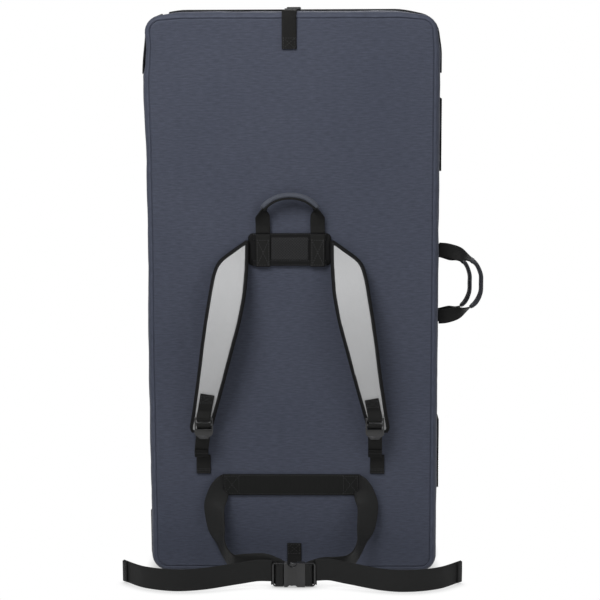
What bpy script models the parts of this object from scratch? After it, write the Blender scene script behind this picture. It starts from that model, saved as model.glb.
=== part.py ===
# Folding bouldering crash pad, folded shut and standing on one short end.
# Frame: X to the right seen from the harness side, Y away from that viewer, Z up, metres.
# The origin is the middle of the front half's base. The fold hinge runs up the left side.

import bpy
import bmesh
from math import cos, pi, radians, sin
from mathutils import Vector

# Pad halves
PAD_WIDTH = 0.508
PAD_HEIGHT = 0.985
HALF_THICKNESS = 0.088
CORNER_RADIUS = 0.030
COVER_WALL = 0.0012
FACE_CROWN = 0.0035
SEAM_INSET = 0.0125
SEAM_GROOVE = 0.0012
RIM_TUCK = 0.0045
FOLD_GAP = 0.0006
TOUCH_GAP = 0.0003
CORNER_STEPS = 6
SIDE_STEPS = 8

# Foam stack, from the landing side outwards
FIRM_FOAM = 0.012

# Fold hinge
HINGE_OFFSET = 0.0045
HINGE_STRIP_END_GAP = 0.0025
HINGE_STRIP_REACH = 0.030
HINGE_STRIP_THICKNESS = 0.0011

# Webbing
NARROW_WEBBING = 0.025
WIDE_WEBBING = 0.038
WEBBING_THICKNESS = 0.0018
BELT_THICKNESS = 0.0020

# End flaps that cross the fold at the top and the bottom
KEEPER_X = -0.0054
FLAP_STRAP_X = 0.0016
BOTTOM_KEEPER_X = 0.0013
TOP_FLAP_REACH = 0.050
BOTTOM_FLAP_REACH = 0.016
FLAP_THICKNESS = 0.0012
FLAP_LEG = 0.105
FLAP_END_INSET = 0.045
GORE_REACH = 0.048
KEEPER_DROP = 0.063
RECESS_MARGIN = 0.0035
HOOK_LENGTH = 0.0105
HOOK_WIDTH = 0.0255
HOOK_THICKNESS = 0.0016
HOOK_BORDER = 0.0030
BOTTOM_KEEPER_REACH = 0.0150

# Closure tabs on the open side
TAB_LENGTH = 0.125
TAB_REACH = 0.050
TAB_BASE = 0.022
PATCH_THICKNESS = 0.0009
TAB_THICKNESS = 0.0016
TAB_CENTRE_FROM_END = 0.211
TAB_HINGE_REACH = 0.030

# Yoke and haul handle
HARNESS_X = -0.004
YOKE_WIDTH = 0.139
YOKE_TOP = 0.609
YOKE_HEIGHT = 0.056
YOKE_THICKNESS = 0.0030
YOKE_CORNER = 0.006
MESH_WIDTH = 0.058
HAUL_SPACING = 0.096
HAUL_RISE = 0.070
SLEEVE_WALL = 0.0016
SLEEVE_CLEARANCE = 0.0009
HANDLE_STEPS = 4
BARE_SHARE = 0.33
SIDE_BARE_SHARE = 0.31

# Side carrying handles
SIDE_HANDLE_TOP = 0.586
SIDE_HANDLE_SPAN = 0.115
SIDE_HANDLE_REACH = 0.074
SIDE_HANDLE_Y = 0.050
REAR_HANDLE_DROP = 0.014
REAR_HANDLE_REACH = 0.066

# Shoulder straps
STRAP_TOP_DROP = 0.012
STRAP_LENGTH = 0.335
STRAP_SPREAD_WIDTH = 0.098
STRAP_THICKNESS = 0.009
STRAP_BOW = 0.036
STRAP_FACE_THICKNESS = 0.0010
BINDING_WIDTH = 0.0062
BINDING_THICKNESS = 0.0105
LOCK_WIDTH = 0.032
LOCK_HEIGHT = 0.036
LOCK_THICKNESS = 0.0030
LOCK_BAR = 0.0042
LOCK_SLOT = 0.0060
LOCK_Z = 0.2735
THREAD_SHARE = 0.42
LOCK_SPACING = 0.299
STRAP_WEBBING_TOP = 0.330
ANCHOR_Z = 0.184
ANCHOR_LENGTH = 0.034
TAIL_END_Z = 0.216

# Waist belt and its side release buckle
BAND_LENGTH = 0.239
BAND_CENTRE_X = -0.0035
BAND_Z = 0.164
BELT_FORWARD = 0.068
FLOOR_CLEARANCE = 0.0010
BUCKLE_LENGTH = 0.078
BUCKLE_HEIGHT = 0.044
BUCKLE_THICKNESS = 0.0120
BUCKLE_WALL = 0.0018
BUCKLE_CENTRE_X = 0.002
BUCKLE_FRAME_THICKNESS = 0.0060
BUCKLE_BAR = 0.0038
BUCKLE_SLOT = 0.0050
HOUSING_LENGTH = 0.038
PRONG_HEIGHT = 0.0075
PRONG_LENGTH = 0.026
TONGUE_HEIGHT = 0.0090
BELT_TAIL_REACH = 0.256
BELT_TAIL_BOW = 0.028

# Places that follow from the sizes above
FOLD_Y = HALF_THICKNESS / 2
FACE_Y = FOLD_Y - HALF_THICKNESS
HALF_WIDTH = PAD_WIDTH / 2
HINGE_X = -HALF_WIDTH - HINGE_OFFSET
RECESS_DEPTH = WEBBING_THICKNESS + 2 * TOUCH_GAP
RECESS_HALF = NARROW_WEBBING / 2 + RECESS_MARGIN

for old in list(bpy.data.objects):
    bpy.data.objects.remove(old, do_unlink=True)


def finish(name, colour, roughness, metallic=0.0):
    """A plain Principled material for one kind of stuff."""
    made = bpy.data.materials.new(name)
    made.use_nodes = True
    shader = made.node_tree.nodes["Principled BSDF"]
    shader.inputs["Base Color"].default_value = (*colour, 1.0)
    shader.inputs["Roughness"].default_value = roughness
    shader.inputs["Metallic"].default_value = metallic
    return made


SHELL = finish("shell_fabric", (0.062, 0.071, 0.098), 0.72)
LANDING = finish("landing_fabric", (0.016, 0.016, 0.018), 0.80)
WEBBING = finish("webbing", (0.014, 0.014, 0.013), 0.70)
STRAP_FACE = finish("strap_face", (0.46, 0.46, 0.47), 0.65)
BINDING = finish("binding", (0.012, 0.012, 0.013), 0.75)
MESH = finish("mesh", (0.018, 0.019, 0.022), 0.85)
FOAM = finish("open_cell_foam", (0.52, 0.52, 0.50), 0.95)
FIRM = finish("closed_cell_foam", (0.10, 0.10, 0.11), 0.85)
PLASTIC = finish("plastic_hardware", (0.040, 0.040, 0.042), 0.35)
STEEL = finish("steel_hook", (0.06, 0.06, 0.065), 0.35, 0.9)
LOOP = finish("hook_and_loop", (0.010, 0.010, 0.010), 0.95)


def axis_empty(name, place, parent=None):
    """An empty on a joint's axis. Its pieces are its children."""
    empty = bpy.data.objects.new(name, None)
    bpy.context.scene.collection.objects.link(empty)
    empty["place"] = tuple(place)
    start = Vector(parent["place"]) if parent else Vector((0, 0, 0))
    empty.parent = parent
    empty.location = Vector(place) - start
    return empty


def piece(name, shape, stuff, axis=None):
    """Turn a bmesh in frame coordinates into a named object on its joint axis."""
    if axis:
        bmesh.ops.translate(shape, verts=shape.verts, vec=-Vector(axis["place"]))
    bmesh.ops.recalc_face_normals(shape, faces=shape.faces)
    mesh = bpy.data.meshes.new(name)
    shape.to_mesh(mesh)
    shape.free()
    mesh.materials.append(stuff)
    made = bpy.data.objects.new(name, mesh)
    bpy.context.scene.collection.objects.link(made)
    made.parent = axis
    return made


def loft(rings, ring_closed=False):
    """Bridge rings of equal count into one closed skin, capped or joined end to end."""
    shape = bmesh.new()
    loops = [[shape.verts.new(point) for point in ring] for ring in rings]
    pairs = list(zip(loops, loops[1:]))
    if ring_closed:
        pairs.append((loops[-1], loops[0]))
    for low, high in pairs:
        for here in range(len(low)):
            after = (here + 1) % len(low)
            shape.faces.new((low[here], low[after], high[after], high[here]))
    if not ring_closed:
        shape.faces.new(loops[0][::-1])
        shape.faces.new(loops[-1])
    return shape


def block(low, high):
    """A closed box between two corners."""
    (x0, y0, z0), (x1, y1, z1) = low, high
    base = [(x0, y0, z0), (x1, y0, z0), (x1, y1, z0), (x0, y1, z0)]
    return loft([base, [(x, y, z1) for x, y, _ in base]])


def cut(target, name, shape, operation="DIFFERENCE"):
    """Take a shape away from a piece, or join it on, with an exact Boolean."""
    tool = piece(name, shape, PLASTIC, target.parent)
    tool.hide_render = True
    tool.display_type = "WIRE"
    modifier = target.modifiers.new(name, "BOOLEAN")
    modifier.operation = operation
    modifier.solver = "EXACT"
    modifier.object = tool


def smooth_curve(knots, steps):
    """A curve through every knot (Catmull-Rom), with the given steps to a span."""
    first = 2 * knots[0] - knots[1]
    last = 2 * knots[-1] - knots[-2]
    run = [first, *knots, last]
    points = []
    for a, b, c, d in zip(run, run[1:], run[2:], run[3:]):
        for step in range(steps):
            t = step / steps
            bend = (2 * a - 5 * b + 4 * c - d) * t * t + (3 * b - a - 3 * c + d) * t ** 3
            points.append((2 * b + (c - a) * t + bend) / 2)
    points.append(knots[-1])
    return points


def tangents(points):
    """The direction of travel at each point of a path."""
    ends = [points[0], *points, points[-1]]
    return [(after - before).normalized() for before, after in zip(ends, ends[2:])]


def strip_rings(points, acrosses, width, thickness):
    """Rectangular sections along a path. Each across vector is made square to the path."""
    rings = []
    for point, travel, across in zip(points, tangents(points), acrosses):
        side = (across - travel * across.dot(travel)).normalized()
        up = travel.cross(side)
        half_side = side * width / 2
        half_up = up * thickness / 2
        corners = (half_side + half_up, half_up - half_side, -half_side - half_up, half_side - half_up)
        rings.append([point + corner for corner in corners])
    return rings


def strip(knots, acrosses, width, thickness, steps=3):
    """One length of webbing along a smooth curve."""
    points = smooth_curve([Vector(knot) for knot in knots], steps)
    sides = smooth_curve([Vector(across) for across in acrosses], steps)
    shape = loft(strip_rings(points, sides, width, thickness))
    bmesh.ops.triangulate(shape, faces=shape.faces)
    return shape


def sleeve(points, acrosses, end_share):
    """A fabric tube round a webbing handle, open at both ends, with an end share left bare."""
    inner_grow = 2 * SLEEVE_CLEARANCE
    outer_grow = inner_grow + 2 * SLEEVE_WALL
    bare = round(len(points) * end_share)
    outer = strip_rings(points, acrosses, NARROW_WEBBING + outer_grow, WEBBING_THICKNESS + outer_grow)
    inner = strip_rings(points, acrosses, NARROW_WEBBING + inner_grow, WEBBING_THICKNESS + inner_grow)
    return loft(outer[bare:-bare] + inner[bare:-bare][::-1], ring_closed=True)


def arc(centre, radius, start, end, steps):
    """Points on a circle's arc in a plane, from one angle to another, in degrees."""
    turn = [radians(start + (end - start) * step / steps) for step in range(steps + 1)]
    return [(centre[0] + radius * cos(a), centre[1] + radius * sin(a)) for a in turn]


def pad_outline(inset, recess=0.0):
    """The pad's rounded outline in X and Z, drawn in by an inset, with a strap recess below."""
    half = HALF_WIDTH - inset
    low = inset
    high = PAD_HEIGHT - inset
    radius = max(CORNER_RADIUS - inset, CORNER_RADIUS / 6)
    fade = max(0.0, 1 - inset / CORNER_RADIUS) * recess
    left = BOTTOM_KEEPER_X - RECESS_HALF
    right = BOTTOM_KEEPER_X + RECESS_HALF
    slope = RECESS_DEPTH
    shrink = min(1.0, (half - radius) / (2 * RECESS_HALF))
    notch = [(left - slope, low), (left, low + fade), (right, low + fade), (right + slope, low)]
    points = arc((-half + radius, low + radius), radius, 180, 270, CORNER_STEPS)
    points += [(x * shrink, z) for x, z in notch]
    points += arc((half - radius, low + radius), radius, 270, 360, CORNER_STEPS)
    for step in range(1, SIDE_STEPS):
        points.append((half, low + radius + (high - low - 2 * radius) * step / SIDE_STEPS))
    points += arc((half - radius, high - radius), radius, 0, 90, CORNER_STEPS)
    points.append((0, high))
    points += arc((-half + radius, high - radius), radius, 90, 180, CORNER_STEPS)
    for step in range(1, SIDE_STEPS):
        points.append((-half, high - radius - (high - low - 2 * radius) * step / SIDE_STEPS))
    return points


# How far in from the outline the gusset lies, at shares of the depth away from the fold
GUSSET_SHARES = [
    (0.04, 1.0),
    (0.13, 0.62),
    (0.25, 0.27),
    (0.40, 0.0),
    (0.60, 0.0),
    (0.74, 0.16),
    (0.86, 0.62),
]
# The rounded front edge, as shares of the seam inset and of the depth
EDGE_SHARES = [(0.93, 0.45), (0.968, 0.80)]
FACE_SHARES = [0.14, 0.32, 0.56, 0.80]


def cover_profile():
    """Depth from the fold and inset of each ring of a cover's skin, from the rim to the middle."""
    face_depth = HALF_THICKNESS - FACE_CROWN
    rings = [(share * HALF_THICKNESS, tuck * RIM_TUCK) for share, tuck in GUSSET_SHARES]
    rings += [(share * face_depth, step * SEAM_INSET) for share, step in EDGE_SHARES]
    rings.append((face_depth - SEAM_GROOVE, SEAM_INSET))
    rings.append((face_depth, SEAM_INSET + 2 * SEAM_GROOVE))
    inner_reach = HALF_WIDTH - SEAM_INSET
    for share in FACE_SHARES:
        crown = FACE_CROWN * (1 - (1 - share) ** 2)
        rings.append((face_depth + crown, SEAM_INSET + inner_reach * share))
    return rings


def half_ring(side, depth, inset, recess=RECESS_DEPTH):
    """A ring of one half at a depth from the fold. Side is -1 for the front half, 1 for the rear."""
    keep = recess if side < 0 else 0.0
    return [(x, FOLD_Y + side * depth, z) for x, z in pad_outline(inset, keep)]


def cover(side):
    """One half's fabric cover: the outer face and the bulged gusset, open towards the fold."""
    profile = cover_profile()
    outer = [half_ring(side, depth, inset) for depth, inset in profile]
    inner = []
    for depth, inset in profile:
        on_face = inset > SEAM_INSET
        sink = COVER_WALL if on_face or depth > HALF_THICKNESS * EDGE_SHARES[0][0] - FACE_CROWN else 0
        inner.append(half_ring(side, depth - sink, inset + COVER_WALL))
    return loft(inner[::-1] + outer)


def slab(side, near, far, inset, far_inset=None):
    """A flat layer of one half, between two depths from the fold."""
    rings = [half_ring(side, near, inset), half_ring(side, far, far_inset or inset)]
    return loft(rings)


HALVES = [("front", -1, None)]
fold_axis = axis_empty("fold_axis", (HINGE_X, FOLD_Y, 0))
HALVES.append(("rear", 1, fold_axis))

RIM_DEPTH = GUSSET_SHARES[0][0] * HALF_THICKNESS
PANEL_NEAR = FOLD_GAP / 2
PANEL_FAR = RIM_DEPTH - TOUCH_GAP
FOAM_INSET = RIM_TUCK + COVER_WALL + TOUCH_GAP
CORE_FACE_INSET = SEAM_INSET + COVER_WALL + 2 * TOUCH_GAP
CORE_FAR = HALF_THICKNESS - FACE_CROWN - SEAM_GROOVE - COVER_WALL - TOUCH_GAP

for half, side, axis in HALVES:
    piece(half + "_cover", cover(side), SHELL, axis)
    piece(half + "_landing_panel", slab(side, PANEL_NEAR, PANEL_FAR, RIM_TUCK), LANDING, axis)
    firm_near = RIM_DEPTH + TOUCH_GAP
    firm_far = firm_near + FIRM_FOAM
    piece(half + "_landing_foam", slab(side, firm_near, firm_far, FOAM_INSET), FIRM, axis)
    core = slab(side, firm_far + TOUCH_GAP, CORE_FAR, FOAM_INSET, CORE_FACE_INSET)
    piece(half + "_core_foam", core, FOAM, axis)
    # Hinge fabric, sewn to this half's gusset and running out to the axis
    near_y = FOLD_Y + side * FOLD_GAP / 2
    far_y = FOLD_Y + side * HINGE_STRIP_REACH
    wall_x = -HALF_WIDTH - TOUCH_GAP
    tip_x = HINGE_X + HINGE_STRIP_THICKNESS
    middle = PAD_HEIGHT / 2
    half_strip = middle - FLAP_LEG - HINGE_STRIP_END_GAP
    section = [
        (wall_x, far_y),
        (wall_x - HINGE_STRIP_THICKNESS, far_y),
        (HINGE_X, near_y),
        (tip_x, near_y),
    ]
    rings = []
    for z in (middle - half_strip, middle + half_strip):
        rings.append([(x, y, z) for x, y in section])
    piece(half + "_hinge_strip", loft(rings), SHELL, axis)


def skin_depth(inset):
    """Depth from the fold of a cover's outer face at a distance in from the outline."""
    rings = [ring for ring in cover_profile() if ring[1] > SEAM_INSET]
    for (low_depth, low), (high_depth, high) in zip(rings, rings[1:]):
        if inset <= high:
            share = (inset - low) / (high - low)
            return low_depth + (high_depth - low_depth) * max(0.0, share)
    return rings[-1][0]


def face_y(x, z, proud=0.0):
    """Y of the front face at a place, or of a layer that stands proud of it."""
    inset = min(HALF_WIDTH - abs(x), z, PAD_HEIGHT - z)
    return FOLD_Y - skin_depth(inset) - proud


def gusset_inset(depth):
    """How far a cover's gusset lies in from the outline at a depth from the fold."""
    rings = [ring for ring in cover_profile() if ring[1] < SEAM_INSET]
    for (low, low_inset), (high, high_inset) in zip(rings, rings[1:]):
        if depth <= high:
            return low_inset + (high_inset - low_inset) * (depth - low) / (high - low)
    return rings[-1][1]


def over_edge(drop, end_depth, face_proud, end_proud):
    """A path from the front face over the padded edge, as depth and height past the end."""
    profile = [ring for ring in cover_profile() if ring[1] <= drop]
    rings = [ring for ring in profile if ring[0] > end_depth and ring[1] != SEAM_INSET]
    path = [(skin_depth(drop), -drop)]
    path += [(depth, -inset) for depth, inset in rings[::-1]]
    path.append((end_depth, -gusset_inset(end_depth)))
    lines = [Vector(point) for point in path]
    moved = []
    for index, point in enumerate(lines):
        before = lines[max(index - 1, 0)]
        after = lines[min(index + 1, len(lines) - 1)]
        into = (point - before).normalized() if index else (after - point).normalized()
        out = (after - point).normalized() if index < len(lines) - 1 else into
        travel = (into + out).normalized()
        miter = max(travel.dot(into), 0.5)
        share = min(1.0, -point[1] / SEAM_INSET)
        proud = end_proud + (face_proud - end_proud) * share
        moved.append(point + Vector((travel[1], -travel[0])) * proud / miter)
    return moved


# Closure webbing and flap at each end
KEEPER_PROUD = TOUCH_GAP + WEBBING_THICKNESS / 2
TOP_FLAP_Z = PAD_HEIGHT + TOUCH_GAP + FLAP_THICKNESS / 2
BOTTOM_FLAP_Z = TOUCH_GAP + FLAP_THICKNESS / 2


def keeper(name, x, end_depth, end_z, up, end_proud):
    """Keeper webbing, sewn down the front face and turned over the padded edge."""
    path = over_edge(KEEPER_DROP, end_depth, KEEPER_PROUD, end_proud)
    points = [Vector((x, FOLD_Y - depth, end_z + up * height)) for depth, height in path]
    across = [Vector((1, 0, 0))] * len(points)
    return piece(name, loft(strip_rings(points, across, NARROW_WEBBING, WEBBING_THICKNESS)), WEBBING)


def hook_plate(name, x, near_y, low_z, axis):
    """A flat hook: a steel plate with one slot for the webbing."""
    half = HOOK_WIDTH / 2
    plate = block((x - half, near_y, low_z), (x + half, near_y + HOOK_LENGTH, low_z + HOOK_THICKNESS))
    made = piece(name, plate, STEEL, axis)
    slot_half = half - HOOK_BORDER
    slot_low = (x - slot_half, near_y + HOOK_BORDER, low_z - HOOK_THICKNESS)
    slot_high = (x + slot_half, near_y + HOOK_LENGTH - HOOK_BORDER, low_z + 2 * HOOK_THICKNESS)
    cut(made, name + "_slot", block(slot_low, slot_high))


def outline_run(start_x, end_drop, proud, high):
    """Points along the pad's outline at one end, from a place in X round the open side's corner."""
    up = 1 if high else -1
    end_z = PAD_HEIGHT if high else 0.0
    turn = arc((0, 0), CORNER_RADIUS + proud, 90, 0, CORNER_STEPS)
    side_x = -1 if start_x > 0 else 1
    points = [(start_x, end_z + up * proud)]
    for x, height in turn:
        corner_x = side_x * (HALF_WIDTH - CORNER_RADIUS + x)
        points.append((corner_x, end_z - up * (CORNER_RADIUS - height)))
    points.append((side_x * (HALF_WIDTH + proud), end_z - up * end_drop))
    return points


def wrap(points, near_y, far_y, thickness):
    """A fabric strip that follows outline points, as wide as the two Y values."""
    middle = (near_y + far_y) / 2
    path = [Vector((x, middle, z)) for x, z in points]
    across = [Vector((0, 1, 0))] * len(path)
    return loft(strip_rings(path, across, far_y - near_y, thickness))


flap_proud = TOUCH_GAP + FLAP_THICKNESS / 2
top_axis = axis_empty("top_flap_axis", (0, FOLD_Y + TOP_FLAP_REACH, TOP_FLAP_Z), fold_axis)
bottom_axis = axis_empty("bottom_flap_axis", (0, FOLD_Y + BOTTOM_FLAP_REACH, BOTTOM_FLAP_Z), fold_axis)

flap_start = -HALF_WIDTH + FLAP_END_INSET
top_run = outline_run(flap_start, FLAP_LEG, flap_proud, True)
flap_near = FOLD_Y - TOP_FLAP_REACH
flap_far = FOLD_Y + TOP_FLAP_REACH
piece("top_flap", wrap(top_run, flap_near, flap_far, FLAP_THICKNESS), LANDING, top_axis)
bottom_half = (FOLD_Y - BOTTOM_FLAP_REACH, FOLD_Y + BOTTOM_FLAP_REACH)
hook_near = FOLD_Y - BOTTOM_KEEPER_REACH + TOUCH_GAP
half_webbing = NARROW_WEBBING / 2
tongue_y = hook_near + HOOK_LENGTH + TOUCH_GAP
notch_half = HOOK_WIDTH / 2 + TOUCH_GAP
tongue_x = (BOTTOM_KEEPER_X - notch_half, BOTTOM_KEEPER_X + notch_half)
flap_plan = [
    (flap_start, bottom_half[1]),
    (flap_start, bottom_half[0]),
    (tongue_x[0], bottom_half[0]),
    (tongue_x[0], tongue_y),
    (tongue_x[1], tongue_y),
    (tongue_x[1], bottom_half[0]),
    (-flap_start, bottom_half[0]),
    (-flap_start, bottom_half[1]),
]
flap_levels = (TOUCH_GAP, TOUCH_GAP + FLAP_THICKNESS)
bottom_flap = loft([[(x, y, z) for x, y in flap_plan] for z in flap_levels])
piece("bottom_flap", bottom_flap, LANDING, bottom_axis)

top_keeper_end = TOP_FLAP_REACH + HOOK_BORDER
keeper("top_keeper", KEEPER_X, top_keeper_end, PAD_HEIGHT, 1, KEEPER_PROUD)
keeper("bottom_keeper", BOTTOM_KEEPER_X, BOTTOM_KEEPER_REACH, 0.0, -1, -WEBBING_THICKNESS / 2)

hook_low = PAD_HEIGHT + 2 * TOUCH_GAP + WEBBING_THICKNESS
strap_near = flap_near - HOOK_BORDER - TOUCH_GAP
hook_plate("top_hook", FLAP_STRAP_X, strap_near - TOUCH_GAP - HOOK_LENGTH, hook_low, top_axis)
strap_low = TOP_FLAP_Z + FLAP_THICKNESS / 2 + TOUCH_GAP
strap_from = (FLAP_STRAP_X - half_webbing, strap_near, hook_low)
strap_to = (FLAP_STRAP_X + half_webbing, flap_far - HOOK_BORDER, hook_low + WEBBING_THICKNESS)
piece("top_flap_strap", block(strap_from, strap_to), WEBBING, top_axis)

hook_plate("bottom_hook", BOTTOM_KEEPER_X, hook_near, TOUCH_GAP, bottom_axis)

# Gores that close the ends beside the hinge, one on each half
for half, side, axis in HALVES:
    near = FOLD_Y + side * FLAP_THICKNESS
    far = FOLD_Y + side * (FLAP_THICKNESS + GORE_REACH)
    low_y, high_y = min(near, far), max(near, far)
    for end, high in (("top", True), ("bottom", False)):
        run = outline_run(-flap_start, FLAP_LEG, flap_proud, high)
        run = run[1:] if high else run[CORNER_STEPS // 2 + 1:]
        piece(half + "_" + end + "_gore", wrap(run, low_y, high_y, FLAP_THICKNESS), LANDING, axis)

# Hook-and-loop closure tabs on the open side: a patch in front, a sewn base behind, a tab across
patch_x = HALF_WIDTH + TOUCH_GAP
tab_x = patch_x + PATCH_THICKNESS + TOUCH_GAP
tab_hinge_y = FOLD_Y + TAB_HINGE_REACH
for end, z in (("upper", PAD_HEIGHT - TAB_CENTRE_FROM_END), ("lower", TAB_CENTRE_FROM_END)):
    low_z = z - TAB_LENGTH / 2
    high_z = z + TAB_LENGTH / 2
    tab_axis = axis_empty(end + "_tab_axis", (tab_x + TAB_THICKNESS, tab_hinge_y, z), fold_axis)
    patch_near = FOLD_Y - TAB_REACH
    patch_to = (patch_x + PATCH_THICKNESS, patch_near + TAB_HINGE_REACH, high_z)
    piece(end + "_loop_patch", block((patch_x, patch_near, low_z), patch_to), LOOP)
    tab = block((tab_x, patch_near, low_z), (tab_x + TAB_THICKNESS, tab_hinge_y, high_z))
    piece(end + "_closure_tab", tab, WEBBING, tab_axis)
    base_near = tab_hinge_y + 2 * TOUCH_GAP
    base = block((patch_x, base_near, low_z), (tab_x + TAB_THICKNESS, base_near + TAB_BASE, high_z))
    piece(end + "_tab_base", base, WEBBING, fold_axis)

# Yoke: a padded panel with a mesh centre, sewn to the front face
yoke_back = face_y(HARNESS_X, YOKE_TOP, TOUCH_GAP)
yoke_front = yoke_back - YOKE_THICKNESS
yoke_low = YOKE_TOP - YOKE_HEIGHT
yoke_half = YOKE_WIDTH / 2


def rounded_plate(x_half, low_z, high_z, back_y, thickness, corner):
    """A plate parallel to the front face, with rounded corners."""
    middle = (low_z + high_z) / 2
    z_half = (high_z - low_z) / 2
    points = []
    for turn, (x_sign, z_sign) in enumerate(((1, 1), (-1, 1), (-1, -1), (1, -1))):
        centre = (HARNESS_X + x_sign * (x_half - corner), middle + z_sign * (z_half - corner))
        points += arc(centre, corner, 90 * turn, 90 * turn + 90, CORNER_STEPS // 2)
    return loft([[(x, y, z) for x, z in points] for y in (back_y, back_y - thickness)])


yoke_plate = rounded_plate(yoke_half, yoke_low, YOKE_TOP, yoke_back, YOKE_THICKNESS, YOKE_CORNER)
piece("yoke_panel", yoke_plate, BINDING)
mesh_low = yoke_low + YOKE_CORNER * 2
mesh_high = YOKE_TOP - YOKE_CORNER
mesh_back = yoke_front - TOUCH_GAP
mesh_plate = rounded_plate(MESH_WIDTH / 2, mesh_low, mesh_high, mesh_back, WEBBING_THICKNESS, YOKE_CORNER / 2)
piece("yoke_mesh", mesh_plate, MESH)

# Haul handle: two sewn webbing ends, and a loop of the same webbing in a fabric sleeve
leg_y = yoke_front - TOUCH_GAP - WEBBING_THICKNESS / 2
haul_base_z = YOKE_TOP + 2 * TOUCH_GAP
haul_axis = axis_empty("haul_axis", (HARNESS_X, leg_y - WEBBING_THICKNESS / 2, haul_base_z))
for hand, side in (("left", -1), ("right", 1)):
    centre = HARNESS_X + side * HAUL_SPACING / 2
    low = (centre - half_webbing, leg_y - WEBBING_THICKNESS / 2, yoke_low + TOUCH_GAP)
    high = (centre + half_webbing, leg_y + WEBBING_THICKNESS / 2, YOKE_TOP)
    piece("haul_" + hand + "_end", block(low, high), WEBBING)
SLEEVE_HALF = half_webbing + SLEEVE_CLEARANCE + SLEEVE_WALL
grip_y = face_y(0, YOKE_TOP, SLEEVE_HALF + SLEEVE_CLEARANCE)
# Places along half the handle: shares of the half spacing, of the rise and of the way out to the grip
HAUL_SHARES = [
    (1, 0, 0),
    (1, 0.22, 0.05),
    (0.99, 0.42, 0.35),
    (0.97, 0.58, 0.85),
    (0.86, 0.76, 1),
    (0.5, 0.93, 1),
]
HAUL_TWIST_SHARES = [0, 0, 0.25, 0.8, 1, 1]
half_knots = []
half_acrosses = []
for (out, up, forward), twist in zip(HAUL_SHARES, HAUL_TWIST_SHARES):
    y = leg_y + (grip_y - leg_y) * forward
    half_knots.append(Vector((out * HAUL_SPACING / 2, y, haul_base_z + up * HAUL_RISE)))
    half_acrosses.append(Vector((cos(pi / 2 * twist), sin(pi / 2 * twist), 0)))
top_knot = Vector((0, grip_y, haul_base_z + HAUL_RISE))
mirror_x = Vector((-1, 1, 1))
left_knots = [knot * mirror_x for knot in half_knots]
knots = left_knots + [top_knot] + half_knots[::-1]
acrosses = half_acrosses + [Vector((0, 1, 0))] + [across * mirror_x for across in half_acrosses[::-1]]
shift = Vector((HARNESS_X, 0, 0))
haul_points = [point + shift for point in smooth_curve(knots, HANDLE_STEPS)]
haul_sides = smooth_curve(acrosses, HANDLE_STEPS)
haul_webbing = loft(strip_rings(haul_points, haul_sides, NARROW_WEBBING, WEBBING_THICKNESS))
piece("haul_webbing", haul_webbing, WEBBING, haul_axis)
piece("haul_sleeve", sleeve(haul_points, haul_sides, BARE_SHARE), SHELL, haul_axis)

# Side carrying handles, one on the open side of each half
SIDE_SHARES = [(0, 1), (0.18, 1), (0.42, 0.965), (0.68, 0.87), (0.88, 0.68), (0.985, 0.36), (1, 0)]
SIDE_TWIST_SHARES = [0, 0, 0.18, 0.75, 1, 1, 1]
handle_root_x = HALF_WIDTH + TOUCH_GAP
handle_middle_z = SIDE_HANDLE_TOP - SIDE_HANDLE_SPAN / 2 - half_webbing
axis_in = 2 * WEBBING_THICKNESS
handle_sets = {"front": (SIDE_HANDLE_REACH, 0), "rear": (REAR_HANDLE_REACH, REAR_HANDLE_DROP)}
for half, side, axis in HALVES:
    y = FOLD_Y + side * SIDE_HANDLE_Y
    reach, drop = handle_sets[half]
    middle_z = handle_middle_z - drop
    swing = axis_empty(half + "_side_handle_axis", (handle_root_x + axis_in, y, middle_z), axis)
    upper_knots = []
    upper_sides = []
    for (out, up), twist in zip(SIDE_SHARES, SIDE_TWIST_SHARES):
        z = middle_z + up * SIDE_HANDLE_SPAN / 2
        upper_knots.append(Vector((handle_root_x + out * reach, y, z)))
        upper_sides.append(Vector((0, sin(pi / 2 * twist), cos(pi / 2 * twist))))
    lower_knots = [Vector((k[0], k[1], 2 * middle_z - k[2])) for k in upper_knots[-2::-1]]
    lower_sides = [Vector((0, k[1], -k[2])) for k in upper_sides[-2::-1]]
    side_points = smooth_curve(upper_knots + lower_knots, HANDLE_STEPS)
    side_sides = smooth_curve(upper_sides + lower_sides, HANDLE_STEPS)
    side_webbing = loft(strip_rings(side_points, side_sides, NARROW_WEBBING, WEBBING_THICKNESS))
    piece(half + "_handle_webbing", side_webbing, WEBBING, swing)
    piece(half + "_handle_sleeve", sleeve(side_points, side_sides, SIDE_BARE_SHARE), SHELL, swing)


def inset_loop(points, distance):
    """A closed outline in X and Z, drawn in by a distance."""
    count = len(points)
    area = sum(
        points[i - 1][0] * points[i][1] - points[i][0] * points[i - 1][1] for i in range(count)
    )
    turn = 1 if area > 0 else -1
    moved = []
    for index, point in enumerate(points):
        here = Vector(point)
        into = (here - Vector(points[index - 1])).normalized()
        out = (Vector(points[(index + 1) % count]) - here).normalized()
        travel = (into + out).normalized()
        miter = max(travel.dot(into), 0.6)
        moved.append(here + Vector((-travel[1], travel[0])) * turn * distance / miter)
    return moved


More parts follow.
